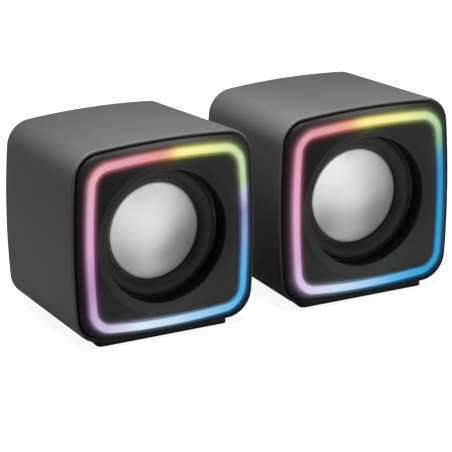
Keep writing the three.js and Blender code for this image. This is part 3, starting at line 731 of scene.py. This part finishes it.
def make_casing(unit):
    loops = rounded([
        (casing_loop(WALL, CASING_REAR_Y), 0.25),
        (casing_loop(0, CASING_REAR_Y), 1.1),
        (casing_loop(0, CASING_FRONT_Y + FRONT_EDGE + 1.5), 0),
        *[(casing_loop(inset, y), 0) for inset, y in front_edge()],
        (casing_loop(LIP + 0.15, CASING_FRONT_Y + 0.4), 0.2),
        (casing_loop(WALL, RIM_Y + 1.3), 0.5),
        (casing_loop(WALL, LEDGE_Y), 0),
        (casing_loop(2 * WALL, LEDGE_Y), 0),
        (casing_loop(2 * WALL, REAR_PANEL_Y - GAP), 0),
        (casing_loop(WALL, REAR_PANEL_Y - GAP), 0),
    ], steps=6)
    casing = frame_piece(f"{unit.name}_casing", unit, loops, unit.cabinet)
    add_bosses(casing, unit, REAR_BOSS)
    points = local_points(casing, unit)
    lip = np.interp(points[:, 1], *zip(*[(y, inset / LIP) for inset, y in front_edge()[::-1]]))
    # Where the front lip's painted shade falls.
    set_values(casing, "lip", lip)
    # Painted light and shade on the sleeve.
    set_values(casing, "tint", painted_lighting_of_casing(points, unit))
    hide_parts(f"{unit.name}_cabinet_shell")
    dress(casing, "casing_plastic")


def shoulder(outer, inner):
    """Loops over a rounded shoulder, steep at the outer loop and level at the inner one."""
    loops = []
    for angle in np.linspace(0, math.pi / 2, 12):
        loop = outer + (inner - outer) * (1 - math.cos(angle))
        loop[:, 1] = outer[:, 1] + (inner[:, 1] - outer[:, 1]) * math.sin(angle)
        loops.append(loop)
    return loops


def make_baffle(unit):
    groove = RING_HALF + 0.15
    panel_rear = 2.2
    chamber = RING_HALF + 1.7
    chamber_rear = GROOVE_DEPTH + 1.5
    skirt = WALL + GAP
    skirt_rear = 13
    flange = BORE_RADIUS + 1.8
    loops = rounded([
        *[(loop, 0) for loop in shoulder(casing_loop(RIM_INSET, RIM_Y),
                                         ring_loop(-groove - 0.15, BORDER_Y))],
        (ring_loop(-groove, BORDER_Y + 0.15), 0),
        (ring_loop(-groove, GROOVE_DEPTH), 0),
        (ring_loop(groove, GROOVE_DEPTH), 0),
        (ring_loop(groove, 0.25), 0.15),
        (ring_loop(groove + 0.45, 0), 0.1),
        *[(between(ring_loop(groove + 0.45, 0), panel_circle(DISH_RADIUS, 0), share), 0)
          for share in (0.04, 0.09, 0.15, 0.23, 0.34, 0.5, 0.7, 0.93)],
        (panel_circle(DISH_RADIUS, 0), 0.15),
        (panel_circle(DISH_RADIUS - 0.4, 0.1 * DISH_DEPTH), 0),
        (panel_circle(BORE_RADIUS + 0.5, 0.9 * DISH_DEPTH), 0),
        (panel_circle(BORE_RADIUS + 0.1, DISH_DEPTH), 0.25),
        (panel_circle(BORE_RADIUS + 0.05, panel_rear), 0),
        (panel_circle(BORE_RADIUS, BORE_REAR_Y), 0.2),
        (panel_circle(flange, BORE_REAR_Y), 0.2),
        (panel_circle(flange, panel_rear), 0),
        (ring_loop(chamber, panel_rear), 0),
        (ring_loop(chamber, chamber_rear), 0.3),
        (casing_loop(skirt + 1.6, chamber_rear), 0.3),
        (casing_loop(skirt + 1.6, skirt_rear), 0.3),
        (casing_loop(skirt, skirt_rear), 0.3),
        (casing_loop(skirt, RIM_Y + 1.6), 0.3),
    ])
    baffle = frame_piece(f"{unit.name}_panel", unit, loops, unit.cabinet, sharp=40)
    add_bosses(baffle, unit, DRIVER_BOSS, sharp=40)
    points = local_points(baffle, unit)
    # The ring's light painted on the baffle as glow.
    set_values(baffle, "glow", glow_beside_ring(points, unit))
    # Painted light, highlight and shade on the baffle, over its dark plastic.
    set_values(baffle, "tone", baffle_colour_and_painted_light(points))
    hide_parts(f"{unit.name}_front_baffle")
    dress(baffle, baffle_plastic(unit))


# Lightness of the baffle, from 0 for black to 1 for white. The first is the plastic's darkest, also kept on
# the bore's wall as painted shade; the others are painted light and a painted highlight, added where their
# names say.
BLACK_TONE = 0.004
RIGHT_PAINTED_LIGHT = 0.019
FOOT_PAINTED_LIGHT = 0.022
DISH_PAINTED_LIGHT = 0.014
SHOULDER_TONE = 0.002
TOP_SHOULDER_PAINTED_LIGHT = 0.055
BORE_EDGE_PAINTED_HIGHLIGHT = 0.05


def baffle_colour_and_painted_light(points):
    """How light the baffle is: its dark plastic with painted light to the right, at the foot, on the dish's
    left and on its top shoulder, a painted highlight on the bore's upper left edge and painted shade on the
    bore's wall.
    """
    x, y, z = points.T
    reach = np.hypot(x, z)
    foot = ramp(-z, 0, 28) * (1 - 0.5 * ramp(x, 5, 25))
    dish = ramp(DISH_RADIUS + 0.2 - reach, 0, 0.6) * ramp(-x, 0, 20)
    flat = RIGHT_PAINTED_LIGHT * ramp(x, -28, 5) + FOOT_PAINTED_LIGHT * foot + DISH_PAINTED_LIGHT * dish
    top = ramp(z, 20, 34) * (0.2 + 0.8 * ramp(x, -30, -5)) * (1 - 0.75 * ramp(x, 6, 26))
    on_shoulder = ramp(-inset_from_ring(points), RING_HALF, RING_HALF + 0.3)
    tone = BLACK_TONE + between(flat, SHOULDER_TONE + TOP_SHOULDER_PAINTED_LIGHT * top, on_shoulder)
    wall_y = DISH_DEPTH + 0.4
    near_bore = reach < BORE_RADIUS + 0.3
    edge = near_bore & (reach > BORE_RADIUS + 0.02) & (y < wall_y)
    # A painted highlight on the bore's upper left edge.
    tone = np.where(edge, tone + BORE_EDGE_PAINTED_HIGHLIGHT * ramp(z - x, 8, 30), tone)
    # The bore's wall keeps the darkest value as painted shade.
    return np.where(near_bore & (y > wall_y), BLACK_TONE, tone)


def inset_from_ring(points):
    """How far each point lies inside the ring's middle line, seen from the front."""
    line = ring_loop(0, 0)[:, [0, 2]]
    flat = points[:, [0, 2]]
    nearest = np.array([np.min(np.hypot(*(line - p).T)) for p in flat])
    angle, line_angle = (np.arctan2(places[:, 1], places[:, 0]) for places in (flat, line))
    line_reach = np.interp(angle, line_angle, np.hypot(*line.T), period=2 * math.pi)
    return np.where(np.hypot(*flat.T) < line_reach, nearest, -nearest)


SPILL = {"left": 0.3, "right": 1.1}  # how much stronger the glow outside the ring is, but for its top
GLOW_REACH_IN = 0.62
GLOW_REACH_OUT = 0.8
TOP_BAND = 0.9  # width of an even glow just inside the ring's top
GLOW_REAR_Y = 3.2


def glow_beside_ring(points, unit):
    """How much of the ring's light is painted on the baffle as glow at each point.

    It is strongest inside the ring's left and top, and outside its right.
    """
    inset = inset_from_ring(points)
    away = np.clip(np.abs(inset) - RING_HALF, 0, None)
    right, up = direction_of(points)
    top, foot = np.clip(up, 0, 1), np.clip(-up, 0, 1)
    inside = (0.36 - 0.26 * right + 0.14 * top - 0.28 * foot) * np.exp(-away / GLOW_REACH_IN)
    inside += 0.14 * ramp(up, 0.4, 0.8) * np.exp(-(away / TOP_BAND)**4)
    outside = 0.08 + 0.26 * np.clip(right, 0, 1) + 0.08 * foot
    outside *= 1 + SPILL[unit.name] * (1 - ramp(up + 0.3 * right, 0.3, 0.7))
    outside = (outside + 0.06 * top) * np.exp(-away / GLOW_REACH_OUT)
    return np.where(points[:, 1] < GLOW_REAR_Y, np.where(inset < 0, outside, inside), 0)


def ring_core(points):
    """How bright the ring is: 1 in the middle of its width and less, even below 0, at its edges.

    The bright middle is narrower at the right and the foot, and a little off centre but at the right.
    """
    right, up = direction_of(points)
    foot = ramp(-up, 0.5, 0.9)
    half = RING_HALF - (0.35 * ramp(right, 0.5, 1.0) + 0.2 * foot)
    shift = 0.3 * ramp(-right, 0.3, 0.8) + 0.25 * ramp(up, 0.5, 0.9) - 0.2 * foot
    flat = 0.35 + 0.3 * ramp(-up, 0.6, 0.9)
    across = np.clip((np.abs(inset_from_ring(points) - shift) / half - flat) / (1 - flat), 0, 1.3)
    return 1 - across**1.5


def make_ring(unit):
    """The light guide, a little crowned and leaning inwards."""
    loops = [ring_loop(-share * RING_HALF, RING_CREST_Y + 0.45 * abs(share)**3 + 0.12 * share)
             for share in np.linspace(-1, 1, 15)]
    loops += [ring_loop(-RING_HALF, RING_DEPTH), ring_loop(RING_HALF, RING_DEPTH)]
    ring = frame_piece(f"{unit.name}_ring", unit, loops, unit.cabinet, sharp=50)
    set_values(ring, "core", ring_core(local_points(ring, unit)))
    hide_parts(f"{unit.name}_light_ring")
    dress(ring, light_guide(unit))


def underside(x, y):
    """Height of the sleeve's lowest surface over the point x, y."""
    outline = casing_outline(y)
    radius = arc_radius(np.maximum(outline.half_width, outline.half_height), outline.bow)
    return -(outline.half_height - radius) - np.sqrt(radius**2 - x**2)


def foot_outline():
    """The pad's outline as (x, depth, outward x, outward depth), with rounded corners."""
    corner = 2.0
    lean = math.atan2(FOOT_FRONT_HALF - FOOT_REAR_HALF, FOOT_REAR_Y - FOOT_FRONT_Y)
    points = []
    rear = (FOOT_REAR_HALF - corner, FOOT_REAR_Y - corner, lean, math.pi / 2)
    front = (FOOT_FRONT_HALF - corner, FOOT_FRONT_Y + corner, -math.pi / 2, lean)
    for x, y, first, last in (front, rear):
        for angle in np.linspace(first, last, 7):
            out_x, out_y = math.cos(angle), math.sin(angle)
            points.append((x + corner * out_x, y + corner * out_y, out_x, out_y))
    return points + [(-x, y, -out_x, out_y) for x, y, out_x, out_y in points[::-1]]


def make_foot(unit):
    """A pad that fills the space under the bowed sleeve, rounded at its tread."""
    bottom = (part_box(f"{unit.name}_base_foot")[0].z - unit.middle.z) / MM
    spacing = 3
    corners = np.array(foot_outline())
    outline = []
    for here, after in zip(corners, np.roll(corners, -1, axis=0)):
        steps = max(1, round(math.dist(here[:2], after[:2]) / spacing))
        outline += [between(here, after, share) for share in np.arange(steps) / steps]
    outline = np.array(outline)

    def level(inset, height=None):
        x = outline[:, 0] - inset * outline[:, 2]
        y = outline[:, 1] - inset * outline[:, 3]
        z = underside(x, y) - GAP if height is None else np.full(len(x), height)
        return np.column_stack([x, y, z])

    loops = rounded([(level(0.6, bottom), 0), (level(0, bottom), 0.5), (level(0), 0)], closed=False)
    foot = block_piece(f"{unit.name}_foot", unit, loops, unit.cabinet)
    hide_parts(f"{unit.name}_base_foot")
    dress(foot, "foot_rubber")


def make_rear_panel(unit, holes):
    """The back, with a shallow groove round it, sunk screw holes and the given (place, radius) holes."""
    edge = WALL + GAP
    groove_y = REAR_FACE_Y - 0.4
    loops = rounded([
        (casing_loop(edge, REAR_PANEL_Y), 0),
        (casing_loop(edge, REAR_FACE_Y), 0.4),
        (casing_loop(edge + 4.2, REAR_FACE_Y), 0.15),
        (casing_loop(edge + 4.5, groove_y), 0.15),
        (casing_loop(edge + 5.0, groove_y), 0.15),
        (casing_loop(edge + 5.3, REAR_FACE_Y), 0),
    ], closed=False)
    panel = block_piece(f"{unit.name}_back", unit, loops, unit.cabinet)
    front_y, rear_y = REAR_PANEL_Y - 1, REAR_FACE_Y + 1
    sink_y = REAR_FACE_Y - 1
    tools = []
    for at in at_corners(REAR_BOSS.offset):
        tools.append(cylinder_tool(unit, at, 1.6, front_y, rear_y))
        tools.append(cylinder_tool(unit, at, 2.9, sink_y, rear_y))
    tools += [cylinder_tool(unit, at, radius, front_y, rear_y) for at, radius in holes]
    cut(panel, tools)
    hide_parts(f"{unit.name}_rear_panel")
    dress(panel, "rear_plastic")


def make_grommet(unit, node, at):
    """A bush with a barb inside the panel and a tapered collar outside it."""
    neck = GROMMET_RADIUS
    tip_y = REAR_PANEL_Y - 2.6
    collar_y = REAR_FACE_Y + GAP
    rear_y = REAR_FACE_Y + 3.4
    loops = turned_loops([
        (CORD_HOLE_RADIUS, tip_y, 0.2),
        (neck + 0.2, tip_y, 0.3),
        (neck + 0.9, REAR_PANEL_Y - GAP, 0.1),
        (neck, REAR_PANEL_Y - GAP, 0),
        (neck, collar_y, 0),
        (neck + 1.6, collar_y, 0.3),
        (neck + 1.0, REAR_FACE_Y + 2.2, 0.7),
        (CORD_HOLE_RADIUS + 0.6, rear_y, 0.3),
        (CORD_HOLE_RADIUS, rear_y, 0.3),
    ], sides=48, closed=True)
    loops = [loop + np.array([at[0], 0, at[1]]) for loop in loops]
    grommet = frame_piece(f"{node}_bush", unit, loops, unit.cabinet)
    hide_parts(node)
    dress(grommet, "grommet_rubber")


def make_screw(unit, node, at, size):
    """A pan-head screw with a cross recess and a threaded shank."""
    head, head_front, head_height, shank, shank_front, slot = size
    head_rear = head_front + head_height
    pitch = 0.55
    thread = 0.18
    profile = [(TIP, shank_front, 0), (shank * 0.55, shank_front + 0.7, 0)]
    y = shank_front + 1.0
    while y < head_front - 0.8:
        profile += [(shank - thread, y, 0), (shank, y + pitch / 2, 0)]
        y += pitch
    profile += [
        (shank - thread, head_front - 0.4, 0), (shank - 0.1, head_front, 0), (head, head_front, 0.1),
        (head, head_front + head_height * 0.35, 0.2), (head * 0.8, head_rear, 0.5), (TIP, head_rear, 0),
    ]
    loops = turned_loops(profile, sides=24)
    screw = block_piece(f"{node}_fastener", unit, loops, unit.cabinet, at=at)
    wide, narrow, depth = head * 0.58, head * 0.13, head_height * 0.55
    arms = []
    for half_x, half_z in ((wide, narrow), (narrow, wide)):
        corners = [(half_x, half_z), (-half_x, half_z), (-half_x, -half_z), (half_x, -half_z)]
        levels = [np.array([(x * k, y, z * k) for x, z in corners])
                  for y, k in ((head_rear - depth, 0.7), (head_rear + 0.5, 1.1))]
        arms.append(block_piece("tool", unit, levels, None, at=at))
    cut(screw, arms)
    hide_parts(node)
    dress(screw, slot)


# ---- driver pieces

# Painted dark reflections on each dome, soft: x, z and spread in mm, and how dark.
DOME_SHADES = {
    "left": [
        (12, -3, 5.5, 0.68), (8, -11, 5.5, 0.42), (2.5, -10, 4, 0.28), (-12, -12, 7, 0.5),
        (-7, 18, 5, 0.28), (4, 16, 7, 0.12), (14, 8, 5.5, 0.22),
    ],
    "right": [
        (-15, -10, 7, 0.77), (11, -4, 5, 0.38), (8, -10, 5, 0.42), (0, -10, 5.5, 0.35),
        (-1, 20, 3, 0.3), (10, 5, 6, 0.3),
    ],
}


def dome_shade(points, unit):
    shade = np.zeros(len(points))
    for x, z, spread, depth in DOME_SHADES[unit.name]:
        shade += depth * np.exp(-((points[:, 0] - x)**2 + (points[:, 2] - z)**2) / (2 * spread**2))
    return np.clip(shade, 0, 1)


def make_dome(unit):
    """A shallow pressed cap with a turned-down rim."""
    sphere = arc_radius(DOME_RADIUS, DOME_RISE)
    crest = DOME_EDGE_Y - DOME_RISE
    rim_y = DOME_EDGE_Y + 0.1
    front = [(r, crest + sphere - math.sqrt(sphere**2 - r**2), 0)
             for r in np.linspace(TIP, DOME_RADIUS - 0.1, 26)]
    back = [(r - 0.1 if r > 1 else r, min(y + 0.5, rim_y), 0) for r, y, _ in front[::-1]]
    loops = turned_loops(front + [(DOME_RADIUS, rim_y, 0)] + back)
    dome = block_piece(f"{unit.name}_dome", unit, loops, unit.cone, sharp=45)
    points = local_points(dome, unit)
    set_values(dome, "reach", np.hypot(points[:, 0], points[:, 2]) * MM)
    # Painted dark reflections on the dome.
    set_values(dome, "shade", dome_shade(points, unit))
    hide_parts(f"{unit.name}_dust_dome")
    dress(dome, "dome_metal")


def make_surround(unit):
    """The half roll between the basket and the dome, with flat rims to glue."""
    outer_y = BORE_REAR_Y + GAP
    inner_y = DOME_EDGE_Y + GAP
    front = [(SURROUND_OUTER + 1.6, outer_y)]
    for share in np.linspace(0, 1, 25):
        across = (1 - math.cos(math.pi * share)) / 2
        radius = SURROUND_OUTER + (SURROUND_INNER - SURROUND_OUTER) * across
        lift = SURROUND_ROLL * math.sin(math.pi * share)
        front.append((radius, outer_y + (inner_y - outer_y) * share - lift))
    front.append((SURROUND_INNER - 1.3, inner_y))
    back = [(radius, y + SURROUND_THICKNESS) for radius, y in front[::-1]]
    loops = [circle(radius, y) for radius, y in front + back]
    roll = frame_piece(f"{unit.name}_roll", unit, loops, None, sharp=60)
    x, y, z = local_points(roll, unit).T
    # A painted highlight along the roll's outer edge, towards its right.
    edge = np.exp(-((np.hypot(x, z) - SURROUND_OUTER + 0.35) / 0.3)**2) * (y < outer_y + 0.2)
    gleam_middle, gleam_spread = 5, 28  # degrees up from the right
    turn = np.degrees(np.arctan2(z, x))
    set_values(roll, "gleam", edge * np.exp(-((turn - gleam_middle) / gleam_spread)**2))
    flex(roll, unit)
    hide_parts(f"{unit.name}_surround")
    dress(roll, "surround_rubber")


def flex(piece, unit):
    """Bakes a ring-shaped piece's placement into its points.
    """
    local = local_points(piece, unit)
    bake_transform(piece)


def make_spider(unit):
    """The CAD's spider, as a piece of its own."""
    node = f"{unit.name}_spider"
    mesh = frame["nodes"][node].data.copy()
    mesh.transform(frame["nodes"][node].matrix_world)
    spider = add_object(f"{unit.name}_centring_disc", mesh)
    reach = np.hypot(*local_points(spider, unit)[:, [0, 2]].T)
    flex(spider, unit)
    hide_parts(node)
    dress(spider, "spider_cloth")


# ---- controls

def turned_in_place(points, turn):
    """Points turned about the Y axis through the unit's middle."""
    return np.asarray(points) @ np.array(Matrix.Rotation(turn, 3, "Y")).T


def make_knob(unit):
    """A fluted knob with a dished face."""
    flutes = 30
    flute_depth = 0.16
    sides = flutes * 8
    angles = np.arange(sides) * 2 * math.pi / sides
    ripple = flute_depth * (1 - np.cos(angles * flutes)) / 2

    def fluted(radius, y, depth):
        reach = radius - ripple * depth
        return np.column_stack([reach * np.cos(angles), np.full(sides, y), reach * np.sin(angles)])

    rear = KNOB_REAR_Y - 0.3
    loops = [
        fluted(KNOB_BORE_RADIUS, KNOB_FRONT_Y, 0),
        *[fluted(KNOB_RADIUS - bevel, KNOB_FRONT_Y + y, 0)
          for bevel, y in ((0.3, 0), (0.08, 0.1), (0, 0.3))],
        fluted(KNOB_RADIUS, KNOB_FRONT_Y + 0.9, 0),
        fluted(KNOB_RADIUS, KNOB_FRONT_Y + 1.3, 2),
        fluted(KNOB_RADIUS, rear - 1.6, 2),
        fluted(KNOB_RADIUS - 0.1, rear - 1.2, 0.6),
        *[fluted(KNOB_RADIUS - 0.3 - 0.9 * s, rear - 0.9 + 0.9 * math.sin(s * math.pi / 2), 0)
          for s in (0.2, 0.5, 0.8, 1)],
        fluted(KNOB_RADIUS - 1.8, rear - 0.05, 0),
        fluted(KNOB_RADIUS - 2.6, rear - 0.35, 0),
        fluted(3, rear - 0.45, 0),
    ]
    knob = block_piece("right_knob", unit, loops, None, at=KNOB_AT)
    cut(knob, [cylinder_tool(unit, KNOB_AT, radius, KNOB_FRONT_Y - 1, rear_y) for radius, rear_y in (
        (KNOB_BORE_RADIUS, KNOB_REAR_Y - 2), (KNOB_RECESS_RADIUS, KNOB_FRONT_Y + KNOB_RECESS_DEPTH),
    )])
    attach(knob, "volume_control")
    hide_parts("right_volume_knob")
    dress(knob, "control_plastic")


def bar_on_knob(unit):
    """The white pointer, a rounded bar inlaid in the knob's face."""
    half, first, last = 0.55, 2.6, KNOB_RADIUS - 1.5
    angles = np.linspace(0, math.pi, 9)
    outline = [(half * math.cos(a), last - half + half * math.sin(a)) for a in angles]
    outline += [(half * math.cos(a), first + half + half * math.sin(a)) for a in angles + math.pi]
    levels = [np.array([(x, y, z) for x, z in outline]) for y in (KNOB_REAR_Y - 1.0, KNOB_REAR_Y)]
    points = [turned_in_place(level, KNOB_REST_TURN) for level in levels]
    bar = block_piece("right_knob_pointer", unit, points, "volume_control", at=KNOB_AT)
    dress(bar, "printed_marks")


def make_button(unit):
    """A dished cap with a flange behind the panel that keeps it in."""
    rear = REAR_FACE_Y + 1.4
    flange = BUTTON_RADIUS + 1
    flange_front, flange_rear = REAR_PANEL_Y - 1.6, REAR_PANEL_Y - GAP
    loops = turned_loops([
        (TIP, flange_front, 0),
        (flange, flange_front, 0.1),
        (flange, flange_rear, 0.1),
        (BUTTON_RADIUS, flange_rear, 0.05),
        (BUTTON_RADIUS, rear, 0.5),
        (BUTTON_RADIUS - 1.0, rear - 0.1, 0.4),
        (TIP, rear - 0.35, 0),
    ], sides=64, steps=5)
    button = block_piece("right_button", unit, loops, "light_switch", at=BUTTON_AT)
    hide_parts("right_light_button")
    dress(button, "control_plastic")


def volume_marks(unit):
    """Eleven printed dots round the knob, growing towards full volume."""
    front, rear = REAR_FACE_Y - 0.2, REAR_FACE_Y + 0.08
    for index in range(11):
        turn = KNOB_REST_TURN - index * math.radians(30)
        middle = turned_in_place([(0, 0, KNOB_RADIUS + 2.6)], turn)[0]
        size = 0.35 + 0.035 * index
        profile = [(TIP, front, 0), (size, front, 0), (size, rear, 0.05), (TIP, rear, 0)]
        loops = turned_loops(profile, sides=16)
        at = (KNOB_AT[0] + middle[0], KNOB_AT[1] + middle[2])
        dot = block_piece(f"right_volume_mark_{index + 1}", unit, loops, unit.cabinet, at=at)
        dress(dot, "printed_marks")


# ---- the pair

def build_unit(unit):
    holes = [(CORD_GROMMET_AT, GROMMET_RADIUS + GAP)]
    if unit.name == "right":
        holes += [(LINK_GROMMET_AT, GROMMET_RADIUS + GAP), (KNOB_AT, POT_HOLE_RADIUS),
                  (BUTTON_AT, BUTTON_RADIUS + GAP)]
    make_casing(unit)
    make_baffle(unit)
    make_ring(unit)
    make_foot(unit)
    make_rear_panel(unit, holes)
    make_grommet(unit, f"{unit.name}_cable_grommet", CORD_GROMMET_AT)
    make_dome(unit)
    make_surround(unit)
    make_spider(unit)
    for index in range(4):
        for kind, boss, screw in (("rear", REAR_BOSS, REAR_SCREW), ("driver", DRIVER_BOSS, DRIVER_SCREW)):
            at = at_corners(boss.offset)[index]
            make_screw(unit, f"{unit.name}_{kind}_screw_{index + 1}", at, screw)


for each in UNITS:
    build_unit(each)
right = UNITS[1]
make_grommet(right, "right_link_grommet", LINK_GROMMET_AT)
make_knob(right)
bar_on_knob(right)
make_button(right)
volume_marks(right)

# What nothing has replaced shows as the CAD made it, each node in its own material.
SLOT_OF_NODE = {row["node"]: row["material_slot"] for row in frame["record"]["subparts"]}
for node, piece in frame["nodes"].items():
    if not piece.hide_render:
        dress(piece, SLOT_OF_NODE[node])


# ---- studio

def sheet(name, low, high, height, albedo, glow=0.0):
    """A flat sheet of paper between two corners (x, y)."""
    mesh = bpy.data.meshes.new(name)
    corners = [(low[0], low[1]), (high[0], low[1]), (high[0], high[1]), (low[0], high[1])]
    mesh.from_pydata([(x, y, height) for x, y in corners], [], [(0, 1, 2, 3)])
    paper = add_object(name, mesh)
    paint = Paint(f"{name}_paper", Roughness=0.9, Emission_Strength=glow, Emission_Color=(1, 1, 1, 1))
    paint.colour(paint.noise(40), *[(albedo * k, albedo * k, albedo * k, 1) for k in (0.98, 1.02)])
    dress(paper, paint.material)
    return paper


def add_floor():
    """A glowing pale floor, with what it sends back to the object coming from cards just below it.

    The grey card keeps the sides dark, and the white one in front is what the domes reflect.
    """
    near_left, far_right = (-4, -4), (4, 4)
    floor = sheet("floor", near_left, far_right, 0, 0.25, glow=0.92)
    floor.visible_diffuse = floor.visible_glossy = floor.visible_shadow = False
    for name, low, high, depth, albedo in (
        ("grey_card", near_left, far_right, 0.2, 0.33),
        ("white_card", (-0.05, -1.5), (1.5, -0.045), 0.1, 0.8),
    ):
        card = sheet(name, low, high, -depth * MM, albedo)
        card.visible_camera = False


def add_area(name, at, towards, width, height, power):
    light = bpy.data.lights.new(name, "AREA")
    light.shape = "RECTANGLE"
    light.size = width
    light.size_y = height
    light.energy = power
    lamp = add_object(name, light)
    lamp.location = at
    lamp.rotation_euler = (Vector(towards) - Vector(at)).to_track_quat("-Z", "Y").to_euler()


def add_world(strength):
    """A dim room that the camera sees as pale as the floor."""
    world = bpy.data.worlds.new("studio")
    world.use_nodes = True
    background = world.node_tree.nodes["Background"]
    background.inputs["Color"].default_value = (1, 1, 1, 1)
    paths = world.node_tree.nodes.new("ShaderNodeLightPath")
    seen = world.node_tree.nodes.new("ShaderNodeMapRange")
    seen.inputs["To Min"].default_value = strength
    world.node_tree.links.new(paths.outputs["Is Camera Ray"], seen.inputs["Value"])
    world.node_tree.links.new(seen.outputs["Result"], background.inputs["Strength"])
    bpy.context.scene.world = world


CAMERA_AZIMUTH = -0.524
CAMERA_ELEVATION = 0.299
CAMERA_ROLL = -0.0059
CAMERA_DISTANCE = 1.153
CAMERA_LENS = 241.9
AIM_RIGHT_OF_LEFT_UNIT = 25.2 * MM
AIM_ABOVE_MIDDLE = 0.63 * MM


def add_camera():
    left = UNITS[0].middle
    aim = left + Vector((AIM_RIGHT_OF_LEFT_UNIT, 0, AIM_ABOVE_MIDDLE))
    level = math.cos(CAMERA_ELEVATION)
    back = Vector((math.sin(CAMERA_AZIMUTH) * level, -math.cos(CAMERA_AZIMUTH) * level,
                   math.sin(CAMERA_ELEVATION)))
    side = Vector((0, 0, 1)).cross(back).normalized()
    up = back.cross(side)
    turned = Matrix.Rotation(CAMERA_ROLL, 3, back)
    axes = Matrix((turned @ side, turned @ up, back)).transposed()
    data = bpy.data.cameras.new("camera")
    data.lens = CAMERA_LENS
    data.clip_end = 20
    camera = add_object("camera", data)
    camera.matrix_world = Matrix.Translation(aim + back * CAMERA_DISTANCE) @ axes.to_4x4()
    bpy.context.scene.camera = camera


bpy.context.scene.view_settings.view_transform = "Standard"
add_floor()
add_world(strength=0.1)
add_area("overhead", at=(-0.15, 0.1, 1.6), towards=(0, 0, 0), width=1.3, height=1.3, power=40)
add_area("front", at=(0.3, -1.3, 0.22), towards=(0, 0, 0.04), width=1.3, height=0.5, power=3.4)
add_camera()
